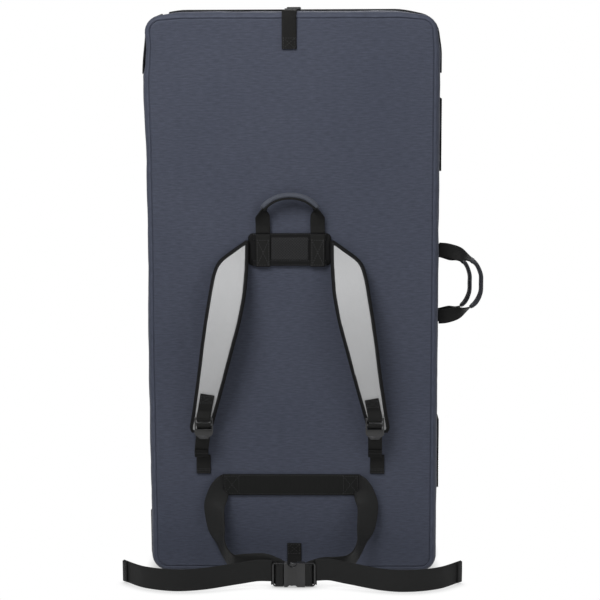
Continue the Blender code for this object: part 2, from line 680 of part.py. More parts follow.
# Shoulder straps, hung from the yoke. Stations from the top: share of the length down, then
# the inner and outer edge as shares of the spread, then the bow off the pad's face
STRAP_STATION_SHARES = [
    (0.0, 0.0, 0.10, 0.0),
    (0.05, 0.0, 0.27, 0.05),
    (0.11, 0.0, 0.50, 0.20),
    (0.17, 0.012, 0.60, 0.40),
    (0.28, 0.030, 0.69, 0.76),
    (0.41, 0.08, 0.78, 0.97),
    (0.54, 0.20, 0.85, 1.0),
    (0.67, 0.345, 0.90, 0.90),
    (0.80, 0.47, 0.94, 0.68),
    (0.90, 0.55, 0.965, 0.46),
    (0.97, 0.61, 0.975, 0.33),
    (1.0, 0.68, 0.92, 0.30),
]
strap_top = YOKE_TOP - STRAP_TOP_DROP
strap_inner = yoke_half + TOUCH_GAP
back_off = TOUCH_GAP + BINDING_THICKNESS / 2


def bow_y(z):
    """Y of the middle of a strap's foam at a height, between its stations."""
    down = (strap_top - z) / STRAP_LENGTH
    runs = list(zip(STRAP_STATION_SHARES, STRAP_STATION_SHARES[1:]))
    for low, high in runs:
        if down <= high[0] or high is runs[-1][1]:
            share = (down - low[0]) / (high[0] - low[0])
            bow = low[3] + (high[3] - low[3]) * share
            return FACE_Y - back_off - bow * STRAP_BOW
    return FACE_Y - back_off


for hand, side in (("left", -1), ("right", 1)):
    edge_in = []
    edge_out = []
    for down, inner, outer, bow in STRAP_STATION_SHARES:
        z = strap_top - down * STRAP_LENGTH
        edge_in.append((HARNESS_X + side * (strap_inner + inner * STRAP_SPREAD_WIDTH), z))
        edge_out.append((HARNESS_X + side * (strap_inner + outer * STRAP_SPREAD_WIDTH), z))
    ring = edge_in + edge_out[::-1]
    inset = inset_loop(ring, BINDING_WIDTH)
    padding = inset_loop(ring, BINDING_WIDTH + TOUCH_GAP)
    strap_axis = axis_empty(hand + "_strap_axis", (HARNESS_X, bow_y(strap_top), strap_top))
    tape = []
    half_tape = BINDING_THICKNESS / 2
    for (outer_x, outer_z), (inner_x, inner_z) in zip(ring, inset):
        outer_y = bow_y(outer_z)
        inner_y = bow_y(inner_z)
        tape.append([
            (outer_x, outer_y - half_tape, outer_z),
            (outer_x, outer_y + half_tape, outer_z),
            (inner_x, inner_y + half_tape, inner_z),
            (inner_x, inner_y - half_tape, inner_z),
        ])
    piece(hand + "_strap_binding", loft(tape, ring_closed=True), BINDING, strap_axis)
    last = len(padding) - 1
    foam = []
    face = []
    half_foam = STRAP_THICKNESS / 2
    face_back = half_foam + TOUCH_GAP
    for index in range(len(STRAP_STATION_SHARES)):
        start = padding[index]
        end = padding[last - index]
        across = [start + (end - start) * share / 4 for share in range(5)]
        front = [(x, bow_y(z) - half_foam, z) for x, z in across]
        back = [(x, bow_y(z) + half_foam, z) for x, z in across]
        foam.append(front + back[::-1])
        skin_back = [(x, bow_y(z) - face_back, z) for x, z in across]
        skin_front = [(x, bow_y(z) - face_back - STRAP_FACE_THICKNESS, z) for x, z in across]
        face.append(skin_front + skin_back[::-1])
    piece(hand + "_strap_foam", loft(foam), FOAM, strap_axis)
    piece(hand + "_strap_face", loft(face), STRAP_FACE, strap_axis)
    # Webbing sewn down the strap's lower face, and the ladder lock that hangs from it
    x = HARNESS_X + side * LOCK_SPACING / 2
    webbing_off = face_back + STRAP_FACE_THICKNESS + 2 * TOUCH_GAP + WEBBING_THICKNESS / 2
    lock_top = LOCK_Z + LOCK_HEIGHT / 2
    heights = (STRAP_WEBBING_TOP, (STRAP_WEBBING_TOP + lock_top) / 2)
    run = [Vector((x, bow_y(z) - webbing_off, z)) for z in heights]
    run.append(Vector((x, bow_y(lock_top) - webbing_off, lock_top + TOUCH_GAP)))
    side_way = [Vector((1, 0, 0))] * len(run)
    sewn = loft(strip_rings(run, side_way, NARROW_WEBBING, WEBBING_THICKNESS))
    piece(hand + "_strap_webbing", sewn, WEBBING, strap_axis)
    lock_back = min(bow_y(LOCK_Z), bow_y(lock_top)) - webbing_off - WEBBING_THICKNESS
    lock_y = lock_back - LOCK_THICKNESS / 2
    lock_axis = axis_empty(hand + "_lock_axis", (x, lock_y, lock_top - LOCK_BAR / 2), strap_axis)
    half_lock = LOCK_WIDTH / 2
    low_z = LOCK_Z - LOCK_HEIGHT / 2
    lip = arc((0, 0), half_lock, 180, 360, CORNER_STEPS * 2)
    lip_drop = LOCK_HEIGHT / 4
    plan = [(x + half_lock, lock_top), (x - half_lock, lock_top)]
    plan += [(x + px, low_z + lip_drop + pz * lip_drop / half_lock) for px, pz in lip]
    plate = loft([[(px, y, pz) for px, pz in plan] for y in (lock_back, lock_back - LOCK_THICKNESS)])
    lock = piece(hand + "_ladder_lock", plate, PLASTIC, lock_axis)
    slot_half = half_webbing + LOCK_BAR / 4
    for row in range(2):
        slot_top = lock_top - LOCK_BAR - row * (LOCK_SLOT + LOCK_BAR)
        slot_low = (x - slot_half, lock_back - 2 * LOCK_THICKNESS, slot_top - LOCK_SLOT)
        slot_high = (x + slot_half, lock_back + LOCK_THICKNESS, slot_top)
        cut(lock, hand + "_lock_slot_" + str(row + 1), block(slot_low, slot_high))
    # The threaded end: over the middle bar, through the lower slot and down behind the lip
    bar_z = lock_top - LOCK_BAR * 3 / 2 - LOCK_SLOT
    slot_z = bar_z - LOCK_BAR / 2 - LOCK_SLOT / 2
    past = LOCK_THICKNESS / 2 + WEBBING_THICKNESS / 2 + TOUCH_GAP
    tail_y = face_y(x, TAIL_END_Z, 4 * WEBBING_THICKNESS)
    tail_knots = [
        (x, lock_y - past, bar_z + LOCK_BAR / 2),
        (x, lock_y - past, slot_z + LOCK_SLOT * THREAD_SHARE),
        (x, lock_y, slot_z),
        (x, lock_y + past, slot_z - LOCK_SLOT * THREAD_SHARE),
        (x, lock_y + past + TOUCH_GAP, low_z + lip_drop),
        (x, lock_y + past + WEBBING_THICKNESS, low_z - LOCK_BAR / 2),
        (x, (lock_y + past + tail_y) / 2, (low_z + TAIL_END_Z) / 2),
        (x, tail_y, TAIL_END_Z),
    ]
    tail_width = NARROW_WEBBING - 2 * TOUCH_GAP
    tail = strip(tail_knots, [(1, 0, 0)] * len(tail_knots), tail_width, WEBBING_THICKNESS, 2)
    piece(hand + "_adjuster_tail", tail, WEBBING, lock_axis)
    anchor_y = face_y(x, ANCHOR_Z + ANCHOR_LENGTH, TOUCH_GAP)
    anchor_low = (x - half_webbing, anchor_y - WEBBING_THICKNESS, ANCHOR_Z)
    anchor_high = (x + half_webbing, anchor_y, ANCHOR_Z + ANCHOR_LENGTH)
    piece(hand + "_anchor_webbing", block(anchor_low, anchor_high), WEBBING)

# Waist belt: a band sewn across the front face, and the belt that hangs from its ends
band_y = face_y(BAND_CENTRE_X, BAND_Z + WIDE_WEBBING, TOUCH_GAP)
band_low = (BAND_CENTRE_X - BAND_LENGTH / 2, band_y - BELT_THICKNESS, BAND_Z - WIDE_WEBBING / 2)
band_high = (BAND_CENTRE_X + BAND_LENGTH / 2, band_y, BAND_Z + WIDE_WEBBING / 2)
piece("waist_band", block(band_low, band_high), WEBBING)
belt_axis = axis_empty("belt_axis", (BAND_CENTRE_X, band_y, band_high[2]))
buckle_y = FACE_Y - BELT_FORWARD
slide_axis = axis_empty("buckle_slide_axis", (BUCKLE_CENTRE_X, buckle_y, BUCKLE_HEIGHT / 2), belt_axis)
buckle_z = BUCKLE_HEIGHT / 2 + FLOOR_CLEARANCE
loop_start = BAND_LENGTH / 2 + 2 * TOUCH_GAP
# The hanging loop from the band's end: shares of the start distance out, of the way forward to
# the back of the buckle and of the band's height above the belt run, with its across direction
LOOP_STATION_SHARES = [
    (1.0, 0.012, 1.0, (0, 0, 1)),
    (1.05, 0.07, 0.985, (0.25, 0, 1)),
    (1.105, 0.17, 0.88, (0.8, 0.05, 0.75)),
    (1.12, 0.27, 0.74, (1, 0.3, 0.1)),
    (1.09, 0.36, 0.50, (0.85, 0.55, 0)),
    (1.03, 0.44, 0.33, (0.5, 0.85, -0.15)),
    (0.94, 0.54, 0.185, (0.35, 0.8, -0.6)),
    (0.81, 0.68, 0.095, (0.1, 0.4, -1)),
    (0.63, 0.83, 0.06, (0, 0.1, -1)),
    (0.48, 0.92, 0.05, (0, 0, -1)),
    (0.36, 0.975, 0.015, (0, 0, -1)),
    (0.26, 1.0, 0.0, (0, 0, -1)),
]
run_z = WIDE_WEBBING / 2 + FLOOR_CLEARANCE + TOUCH_GAP
loop_end_y = buckle_y + BUCKLE_FRAME_THICKNESS / 2 + TOUCH_GAP + BELT_THICKNESS / 2


def belt_loop(side):
    """The hanging loop on one side, down to the belt run behind the buckle."""
    loop_knots = []
    loop_sides = []
    for out, forward, up, across in LOOP_STATION_SHARES:
        x = BAND_CENTRE_X + side * out * loop_start
        y = band_y - BELT_THICKNESS / 2 - forward * (band_y - BELT_THICKNESS / 2 - loop_end_y)
        z = run_z + (BAND_Z - run_z) * up
        loop_knots.append((x, y, z))
        loop_sides.append((side * across[0], across[1], across[2]))
    return strip(loop_knots, loop_sides, WIDE_WEBBING, BELT_THICKNESS, 2)


piece("left_belt_loop", belt_loop(-1), WEBBING, belt_axis)
piece("right_belt_loop", belt_loop(1), WEBBING, belt_axis)

# The loose belt tails, standing on edge on the ground and bowing forward.
# Shares of the tail's reach beyond the buckle, and of its bow in front of the buckle's line
TAIL_SHARES = [(0, 0), (0.10, 0.02), (0.22, 0.20), (0.45, 0.82), (0.64, 1), (0.84, 0.45), (1, -0.85)]


def belt_tail(side, start_x):
    """One belt tail, from the buckle's webbing bar to its hemmed end."""
    tail_knots = []
    for out, bow in TAIL_SHARES:
        x = start_x + side * out * BELT_TAIL_REACH
        tail_knots.append(Vector((x, buckle_y - bow * BELT_TAIL_BOW, run_z)))
    return strip(tail_knots, [(0, 0, 1)] * len(tail_knots), WIDE_WEBBING, BELT_THICKNESS)


def frame_slot(target, slot_from):
    """An upright slot for the belt webbing through one end of a buckle half."""
    half_slot = WIDE_WEBBING / 2 + BUCKLE_WALL / 3
    low = (slot_from, buckle_y - BUCKLE_THICKNESS, buckle_z - half_slot)
    high = (slot_from + BUCKLE_SLOT, buckle_y + BUCKLE_THICKNESS, buckle_z + half_slot)
    cut(target, target.name + "_slot", block(low, high))


def frame_block(low_x, high_x):
    """The plain body of a webbing frame, before its slot."""
    half_frame = BUCKLE_FRAME_THICKNESS / 2
    low = (low_x, buckle_y - half_frame, FLOOR_CLEARANCE)
    return block(low, (high_x, buckle_y + half_frame, FLOOR_CLEARANCE + BUCKLE_HEIGHT))


buckle_left = BUCKLE_CENTRE_X - BUCKLE_LENGTH / 2
buckle_right = BUCKLE_CENTRE_X + BUCKLE_LENGTH / 2
housing_left = BUCKLE_CENTRE_X - HOUSING_LENGTH / 2 + BUCKLE_BAR
housing_right = housing_left + HOUSING_LENGTH

# Female half: a hollow housing with a webbing frame on its far end
half_depth = BUCKLE_THICKNESS / 2
housing_plan = [
    (housing_left, BUCKLE_HEIGHT / 2),
    (housing_left, -BUCKLE_HEIGHT / 2),
    (housing_right - BUCKLE_BAR, -BUCKLE_HEIGHT / 2),
    (housing_right, -BUCKLE_HEIGHT / 2 + BUCKLE_BAR),
    (housing_right, BUCKLE_HEIGHT / 2 - BUCKLE_BAR),
    (housing_right - BUCKLE_BAR, BUCKLE_HEIGHT / 2),
]
housing_levels = (buckle_y - half_depth, buckle_y + half_depth)
housing = loft([[(x, y, buckle_z + z) for x, z in housing_plan] for y in housing_levels])
female = piece("buckle_socket", housing, PLASTIC, belt_axis)
pocket_depth = BUCKLE_FRAME_THICKNESS / 2 + TOUCH_GAP
pocket_half = BUCKLE_HEIGHT / 2 - BUCKLE_WALL
pocket_low = (housing_left - BUCKLE_WALL, buckle_y - pocket_depth, buckle_z - pocket_half)
pocket_high = (housing_left + PRONG_LENGTH + BUCKLE_WALL, buckle_y + pocket_depth, buckle_z + pocket_half)
cut(female, "socket_pocket", block(pocket_low, pocket_high))
window_left = housing_left + PRONG_LENGTH / 3
for row, up in enumerate((-1, 1)):
    edge = buckle_z + up * BUCKLE_HEIGHT / 2
    low_z, high_z = sorted((edge - up * 2 * BUCKLE_WALL, edge + up * BUCKLE_WALL))
    window_low = (window_left, buckle_y - pocket_depth, low_z)
    window_high = (window_left + PRONG_LENGTH / 2, buckle_y + pocket_depth, high_z)
    cut(female, "socket_window_" + str(row + 1), block(window_low, window_high))
cut(female, "socket_frame", frame_block(housing_right - BUCKLE_BAR, buckle_right), "UNION")
frame_slot(female, buckle_right - BUCKLE_BAR - BUCKLE_SLOT)

# Male half: a webbing frame with a guide tongue, and the two sprung prongs
frame_right = housing_left - TOUCH_GAP
plug = piece("buckle_plug", frame_block(buckle_left, frame_right), PLASTIC, slide_axis)
inner_half = BUCKLE_FRAME_THICKNESS / 2 - TOUCH_GAP
tongue_low = (frame_right - BUCKLE_BAR, buckle_y - inner_half, buckle_z - TONGUE_HEIGHT / 2)
tongue_high = (frame_right + PRONG_LENGTH, buckle_y + inner_half, buckle_z + TONGUE_HEIGHT / 2)
cut(plug, "plug_tongue", block(tongue_low, tongue_high), "UNION")
frame_slot(plug, buckle_left + BUCKLE_BAR)
for name, up in (("lower", -1), ("upper", 1)):
    root = pocket_half - TOUCH_GAP
    tip_x = frame_right + PRONG_LENGTH
    plan = [
        (frame_right + TOUCH_GAP, root - PRONG_HEIGHT / 3),
        (frame_right + TOUCH_GAP, root - PRONG_HEIGHT),
        (tip_x - BUCKLE_BAR, root - PRONG_HEIGHT),
        (tip_x, root - PRONG_HEIGHT / 2),
        (window_left + PRONG_LENGTH / 2 - 2 * TOUCH_GAP, root),
        (window_left + 2 * TOUCH_GAP, root + BUCKLE_WALL / 2),
        (window_left + 2 * TOUCH_GAP, root - PRONG_HEIGHT / 3),
    ]
    prong_levels = (buckle_y - inner_half, buckle_y + inner_half)
    prong = [[(x, y, buckle_z + up * z) for x, z in plan] for y in prong_levels]
    piece("buckle_" + name + "_prong", loft(prong), PLASTIC, slide_axis)

piece("left_belt_tail", belt_tail(-1, buckle_left - TOUCH_GAP), WEBBING, slide_axis)
piece("right_belt_tail", belt_tail(1, buckle_right + TOUCH_GAP), WEBBING, belt_axis)
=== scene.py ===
from functools import partial
from math import cos, hypot, pi, radians, sin

import bmesh
import bpy
from mathutils import Euler, Matrix, Vector, noise


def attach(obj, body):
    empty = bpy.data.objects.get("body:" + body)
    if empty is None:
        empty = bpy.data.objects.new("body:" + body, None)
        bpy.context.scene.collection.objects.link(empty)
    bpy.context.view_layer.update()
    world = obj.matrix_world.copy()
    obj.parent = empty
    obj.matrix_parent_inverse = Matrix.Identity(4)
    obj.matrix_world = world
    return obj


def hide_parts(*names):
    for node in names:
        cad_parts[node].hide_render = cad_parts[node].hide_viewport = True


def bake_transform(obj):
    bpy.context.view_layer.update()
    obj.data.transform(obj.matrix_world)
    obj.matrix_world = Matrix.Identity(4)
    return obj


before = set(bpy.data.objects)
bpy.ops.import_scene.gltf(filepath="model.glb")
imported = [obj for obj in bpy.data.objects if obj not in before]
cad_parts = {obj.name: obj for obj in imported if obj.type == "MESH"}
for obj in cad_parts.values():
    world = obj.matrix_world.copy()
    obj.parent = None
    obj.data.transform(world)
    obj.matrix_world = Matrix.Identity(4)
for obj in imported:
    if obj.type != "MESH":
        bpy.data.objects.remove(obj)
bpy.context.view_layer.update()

scene = bpy.context.scene
scene.view_settings.view_transform = "Standard"


def linked(name, data):
    """A new object in the scene."""
    made = bpy.data.objects.new(name, data)
    scene.collection.objects.link(made)
    return made


# The camera: the photograph's eye stands straight in front of the harness side, a little
# above the middle of the pad, and looks slightly down at it.
EYE_PLACE = (0.0719, -2.7765, 0.9382)
EYE_TURN = (radians(80.745), radians(0.2476), radians(1.1865))
EYE_LENS = 96.24
eye = bpy.data.cameras.new("eye")
eye.sensor_width = 36.0
eye.lens = EYE_LENS
camera = linked("eye", eye)
camera.location = EYE_PLACE
camera.rotation_euler = Euler(EYE_TURN)
scene.camera = camera


# The studio: a pale sweep under and behind the pad. It shows pure white to the camera and to
# glossy surfaces, with a painted shadow round the pad's foot where that white emission is dimmed.
PAPER_GREY = 0.50
SHADOW_REACH = 0.024
ROOM_LIGHT = 0.26
WHITE = (1, 1, 1, 1)


def cleared(owner):
    """The node tree of a material or world, made empty."""
    owner.use_nodes = True
    owner.node_tree.nodes.clear()
    return owner.node_tree


def add_node(tree, kind, inputs=(), **settings):
    """A node with its settings. Its inputs take plain values or other nodes' outputs."""
    made = tree.nodes.new(kind)
    for key, value in settings.items():
        setattr(made, key, value)
    for socket, value in dict(inputs).items():
        if isinstance(value, bpy.types.NodeSocket):
            tree.links.new(value, made.inputs[socket])
        else:
            made.inputs[socket].default_value = value
    return made


def math_node(tree, operation, first, second=None, clamp=False):
    """The output of a math node on sockets or plain numbers."""
    values = {index: value for index, value in enumerate((first, second)) if value is not None}
    return add_node(tree, "ShaderNodeMath", values, operation=operation, use_clamp=clamp).outputs[0]


def new_material(name):
    """An empty node material, its tree, and the math nodes of that tree."""
    made = bpy.data.materials.new(name)
    tree = cleared(made)
    return made, tree, partial(math_node, tree)


def object_place(tree):
    """The place on the object, in metres."""
    return add_node(tree, "ShaderNodeTexCoord").outputs["Object"]


def cloth_map(tree):
    """The map of a cloth, in metres."""
    return add_node(tree, "ShaderNodeUVMap", uv_map="metres").outputs[0]


def noise_node(tree, place, scale, detail=2):
    """The output of a noise texture."""
    return add_node(tree, "ShaderNodeTexNoise", {"Vector": place, "Scale": scale, "Detail": detail}).outputs[0]


def blend_node(tree, factor, first, second):
    """The output of a node that blends two colours."""
    values = {"Factor": factor, "A": first, "B": second}
    return add_node(tree, "ShaderNodeMix", values, data_type="RGBA").outputs["Result"]


def mesh_object(name, points, faces, uvs=None):
    """A mesh object at the origin. UVs are one pair for each point."""
    mesh = bpy.data.meshes.new(name)
    mesh.from_pydata([tuple(p) for p in points], [], faces)
    if uvs:
        layer = mesh.uv_layers.new(name="metres")
        for loop in mesh.loops:
            layer.data[loop.index].uv = uvs[loop.vertex_index]
    mesh.polygons.foreach_set("use_smooth", [True] * len(mesh.polygons))
    mesh.update()
    return linked(name, mesh)


floor_paint, tree, maths = new_material("studio_paper")
paper = add_node(tree, "ShaderNodeBsdfDiffuse", {"Color": (PAPER_GREY, PAPER_GREY, PAPER_GREY, 1)})
# Painted contact shadow: an occlusion measure near the pad dims the floor's white emission.
painted_shadow_occlusion = add_node(tree, "ShaderNodeAmbientOcclusion", {"Distance": SHADOW_REACH}, samples=12)
lift = add_node(tree, "ShaderNodeMapRange", {
    "Value": painted_shadow_occlusion.outputs["AO"], "From Min": 0.2, "From Max": 0.9, "To Min": 0.45, "To Max": 1.0})
glow = add_node(tree, "ShaderNodeEmission", {"Color": WHITE, "Strength": lift.outputs["Result"]})
path = add_node(tree, "ShaderNodeLightPath").outputs
seen = maths("MAXIMUM", path["Is Camera Ray"], path["Is Glossy Ray"])
seen = maths("MAXIMUM", seen, path["Is Transmission Ray"])
pick = add_node(tree, "ShaderNodeMixShader", {0: seen, 1: paper.outputs[0], 2: glow.outputs[0]})
add_node(tree, "ShaderNodeOutputMaterial", {"Surface": pick.outputs[0]})

sweep = mesh_object("studio_floor", [(-9, -9, 0), (9, -9, 0), (9, 9, 0), (-9, 9, 0)], [(0, 1, 2, 3)])
sweep.data.materials.append(floor_paint)

world = bpy.data.worlds.new("studio")
scene.world = world
tree = cleared(world)
soft, white = [add_node(tree, "ShaderNodeBackground", {"Color": WHITE, "Strength": strength}).outputs[0]
               for strength in (ROOM_LIGHT, 1.0)]
sight = add_node(tree, "ShaderNodeLightPath").outputs["Is Camera Ray"]
swap = add_node(tree, "ShaderNodeMixShader", {0: sight, 1: soft, 2: white})
add_node(tree, "ShaderNodeOutputWorld", {"Surface": swap.outputs[0]})


def softbox(name, place, aim, size, power):
    """A square studio lamp that faces a point."""
    lamp = bpy.data.lights.new(name, "AREA")
    lamp.energy = power
    lamp.size = size
    holder = linked(name, lamp)
    holder.location = place
    holder.rotation_euler = (Vector(aim) - Vector(place)).to_track_quat("-Z", "Y").to_euler()


softbox("key_softbox", (-0.9, -1.7, 2.5), (0, 0, 0.75), 1.2, 46)
softbox("fill_softbox", (2.2, -2.0, 1.9), (0, 0, 0.6), 1.6, 14)
softbox("back_softbox", (0.6, 2.6, 2.2), (0, 0, 0.5), 1.8, 30)


# Cloth finishes. Every woven stuff reads a map in metres, so that its threads keep their real
# size: one group weaves the threads, with painted shade in the dips between them, and another
# fades and dusts the colour over the piece.
YARN_STRETCH = (75, 420, 1)
SOCKETS = {"f": "NodeSocketFloat", "c": "NodeSocketColor", "v": "NodeSocketVector", "g": "NodeSocketGeometry"}


def node_group(name, kind, inputs, outputs):
    """A node group with named float, colour, vector or geometry sockets, and its two ends."""
    group = bpy.data.node_groups.new(name, kind)
    for label, letter, value in inputs:
        socket = group.interface.new_socket(label, in_out="INPUT", socket_type=SOCKETS[letter])
        if value is not None:
            socket.default_value = value
    for label, letter in outputs:
        group.interface.new_socket(label, in_out="OUTPUT", socket_type=SOCKETS[letter])
    return group, group.nodes.new("NodeGroupInput").outputs, group.nodes.new("NodeGroupOutput").inputs


weave, given, leave = node_group(
    "thread_weave", "ShaderNodeTree",
    [("Map", "v", None), ("Across Pitch", "f", 0.001), ("Along Pitch", "f", 0.001), ("Rib Share", "f", 0.5)],
    [("Height", "f"), ("Shade", "f")])
maths = partial(math_node, weave)
axes = add_node(weave, "ShaderNodeSeparateXYZ", {0: given["Map"]}).outputs
wave_u, wave_v = [maths("SINE", maths("MULTIPLY", maths("DIVIDE", axes[axis], given[pitch]), pi))
                  for axis, pitch in (("X", "Across Pitch"), ("Y", "Along Pitch"))]
over = maths("GREATER_THAN", maths("MULTIPLY", wave_u, wave_v), 0)
hump_v = maths("ABSOLUTE", wave_v)
warp = maths("MULTIPLY", maths("ABSOLUTE", wave_u), over)
weft = maths("MULTIPLY", hump_v, maths("SUBTRACT", 1, over))
ribs = maths("MULTIPLY", hump_v, given["Rib Share"])
plain = maths("MULTIPLY", maths("ADD", warp, weft), maths("SUBTRACT", 1, given["Rib Share"]))
height = maths("ADD", ribs, plain)
weave.links.new(height, leave["Height"])
# Shade is painted shade: the colour is darker where the threads dip between each other.
weave.links.new(maths("ADD", maths("MULTIPLY", height, 0.5), 0.68), leave["Shade"])

fade, given, leave = node_group(
    "fade_and_dust", "ShaderNodeTree",
    [("Place", "v", None), ("Colour", "c", (0.5, 0.5, 0.5, 1)), ("Dust", "c", (0.5, 0.5, 0.5, 1)),
     ("Shade", "f", 1.0), ("Patch Size", "f", 8.0), ("Amount", "f", 0.1)],
    [("Colour", "c"), ("Fuzz", "f")])
maths = partial(math_node, fade)
cloud = noise_node(fade, given["Place"], given["Patch Size"], 4)
fuzz = noise_node(fade, given["Place"], 900)
level = maths("MULTIPLY", maths("SUBTRACT", cloud, 0.3, True), 2.2, True)
mixed = blend_node(fade, maths("MULTIPLY", level, given["Amount"]), given["Colour"], given["Dust"])
grain = maths("ADD", maths("MULTIPLY", fuzz, 0.35), 0.82)
scaled = add_node(fade, "ShaderNodeVectorMath", {
    0: mixed, "Scale": maths("MULTIPLY", grain, given["Shade"])}, operation="SCALE")
fade.links.new(scaled.outputs[0], leave["Colour"])
fade.links.new(fuzz, leave["Fuzz"])


def surfaced(tree, colour, roughness, relief=None, depth=0.0001, strength=1.0, more=()):
    """Closes a material with its principled shader, and a bump where it has relief."""
    values = {"Base Color": colour, "Roughness": roughness, **dict(more)}
    if relief:
        bump = {"Height": relief, "Distance": depth, "Strength": strength}
        values["Normal"] = add_node(tree, "ShaderNodeBump", bump).outputs[0]
    shader = add_node(tree, "ShaderNodeBsdfPrincipled", values)
    add_node(tree, "ShaderNodeOutputMaterial", {"Surface": shader.outputs[0]})


def cloth_finish(name, colour, dust, pitches, rib_share, depth, roughness, amount=0.12, sheen=0.0, patch=8.0,
                 shine=0.32, slub=0.0):
    """A woven fabric: thread pitches across and along in metres, and the depth of its relief."""
    made, tree, maths = new_material(name)
    where = cloth_map(tree)
    threads = add_node(tree, "ShaderNodeGroup", {
        "Map": where, "Across Pitch": pitches[0], "Along Pitch": pitches[1], "Rib Share": rib_share},
        node_tree=weave).outputs
    # The threads' painted shade, made uneven by slubs in the yarn where slub is given.
    shade = threads["Shade"]
    if slub:
        drawn = add_node(tree, "ShaderNodeVectorMath", {0: where, 1: YARN_STRETCH}, operation="MULTIPLY")
        yarns = noise_node(tree, drawn.outputs[0], 1.0)
        uneven = maths("MULTIPLY", maths("SUBTRACT", yarns, 0.5), slub)
        shade = maths("MULTIPLY", shade, maths("ADD", uneven, 1))
    tint = add_node(tree, "ShaderNodeGroup", {
        "Place": object_place(tree), "Colour": (*colour, 1), "Dust": (*dust, 1), "Amount": amount,
        "Patch Size": patch, "Shade": shade}, node_tree=fade).outputs
    relief = maths("ADD", threads["Height"], maths("MULTIPLY", tint["Fuzz"], 0.5))
    rough = maths("ADD", maths("MULTIPLY", tint["Fuzz"], 0.12), roughness - 0.06)
    surfaced(tree, tint["Colour"], rough, relief, depth, 0.8,
             {"Sheen Weight": sheen, "Sheen Roughness": 0.4, "Specular IOR Level": shine})
    return made


def ready(piece, material, body, slot, *nodes):
    """The finish, body and replaced nodes of a finished piece. The slot is not used."""
    if not piece.data.materials:
        piece.data.materials.append(material)
    if nodes:
        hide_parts(*nodes)
    if body:
        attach(piece, body)
    return piece


# The two padded halves. Each is a slab of soft foam in a heavy woven shell: a crowned outer
# face, a seam set in from the edge, and a rounded boxing band that tucks in at the fold.
PAD_HALF_WIDTH = 0.254
PAD_HEIGHT = 0.985
PAD_DEPTH = 0.088
FOLD_Y = 0.044
CORNER = 0.030
SEAM_INSET = 0.0125
CROWN = 0.0035
KEEPER_X = 0.0013
KEEPER_REACH = 0.026
KEEPER_RISE = 0.0027
CELL = 0.0055
HALVES = (("front", -1), ("rear", 1))
HANDS = (("left", -1), ("right", 1))
SEAM_STEPS = (0.0009, 0.0020, 0.0036)
WIDE_DENT, SMALL_DENT, FINE_CREASE = 0.0017, 0.0005, 0.00016
SEAM_DIP, SEAM_PUCKER = 0.0022, 0.0012
BAND_DENT, BAND_CREASE = 0.0009, 0.0004

shell_cloth = cloth_finish(
    "shell_cloth", (0.060, 0.069, 0.102), (0.086, 0.095, 0.132), (0.0016, 0.0011), 0.35, 0.00016, 0.62,
    amount=0.38, sheen=0.08, patch=5.0, slub=0.75)
landing_cloth = cloth_finish(
    "landing_cloth", (0.018, 0.018, 0.020), (0.035, 0.035, 0.037), (0.0014, 0.0014), 0.0, 0.0002, 0.66, sheen=0.05)

# Depth from the fold as a share of the pad's depth, and inset of the boxing band, seam outwards
BAND_SHARES = [(0.9535, 0.93), (0.952, 0.80), (0.944, 0.62), (0.925, 0.42), (0.89, 0.25), (0.84, 0.13),
               (0.77, 0.05), (0.68, 0.012), (0.55, 0.0), (0.42, 0.0), (0.31, 0.03), (0.21, 0.09),
               (0.13, 0.17), (0.075, 0.27), (0.042, 0.36)]


def round_corner(x, z, half_x, half_z, radius):
    """Moves a place in a rectangle into the same place of a rectangle with round corners."""
    a = max(0.0, abs(x) - (half_x - radius)) / radius
    b = max(0.0, abs(z) - (half_z - radius)) / radius
    if a and b:
        x = (half_x - radius + radius * a * (1 - b * b / 2) ** 0.5) * (1 if x > 0 else -1)
        z = (half_z - radius + radius * b * (1 - a * a / 2) ** 0.5) * (1 if z > 0 else -1)
        reach = hypot(a * (1 - b * b / 2) ** 0.5, b * (1 - a * a / 2) ** 0.5)
        return x, z, radius * (1 - reach)
    return x, z, min(half_x - abs(x), half_z - abs(z))


def grid_faces(rows, columns):
    """The squares between the points of a grid."""
    wide = columns + 1
    return [(at, at + 1, at + wide + 1, at + wide)
            for row in range(rows) for at in range(row * wide, row * wide + columns)]


def grid_border(rows, columns):
    """The points round a grid's edge, in order."""
    wide = columns + 1
    last = rows * wide
    return [*range(columns), *range(columns, last + columns, wide), *range(last + columns, last, -1),
            *range(last, 0, -wide)]


def slab_faces(faces, border, count):
    """The faces of a slab: those given, the same on the other side, and the wall between them."""
    below = [tuple(at + count for at in face[::-1]) for face in faces]
    wall = [(here, here + count, after + count, after) for here, after in zip(border, border[1:] + border[:1])]
    return faces + below + wall


def tube_faces(rows, size):
    """The faces of a closed tube whose every ring of points ends where it began."""
    end = (rows - 1) * size
    return grid_faces(rows - 1, size - 1) + [tuple(range(size - 1)), tuple(range(end + size - 2, end - 1, -1))]


def runs_along(points):
    """How far along a path each of its points lies."""
    runs = [0.0]
    for before, after in zip(points, points[1:]):
        runs.append(runs[-1] + (Vector(after) - Vector(before)).length)
    return runs


def rounded_grid(half_x, half_z, radius, cell, rim=()):
    """Places, faces and border of a fine grid over a rounded rectangle. Rim steps are finer."""
    def steps_across(half):
        inner = half - (rim[-1] if rim else 0)
        count = round(2 * inner / cell)
        even = [-inner + 2 * inner * step / count for step in range(count + 1)]
        near = [half - step for step in (0, *rim[:-1])] if rim else []
        return [-at for at in near] + even + near[::-1]
    xs, zs = steps_across(half_x), steps_across(half_z)
    places = [round_corner(x, z, half_x, half_z, radius) for z in zs for x in xs]
    size = len(zs) - 1, len(xs) - 1
    return places, grid_faces(*size), grid_border(*size)


def wrinkle(x, y, z):
    """Smooth noise between -1 and 1 at a place."""
    return noise.noise(Vector((x, y, z)))


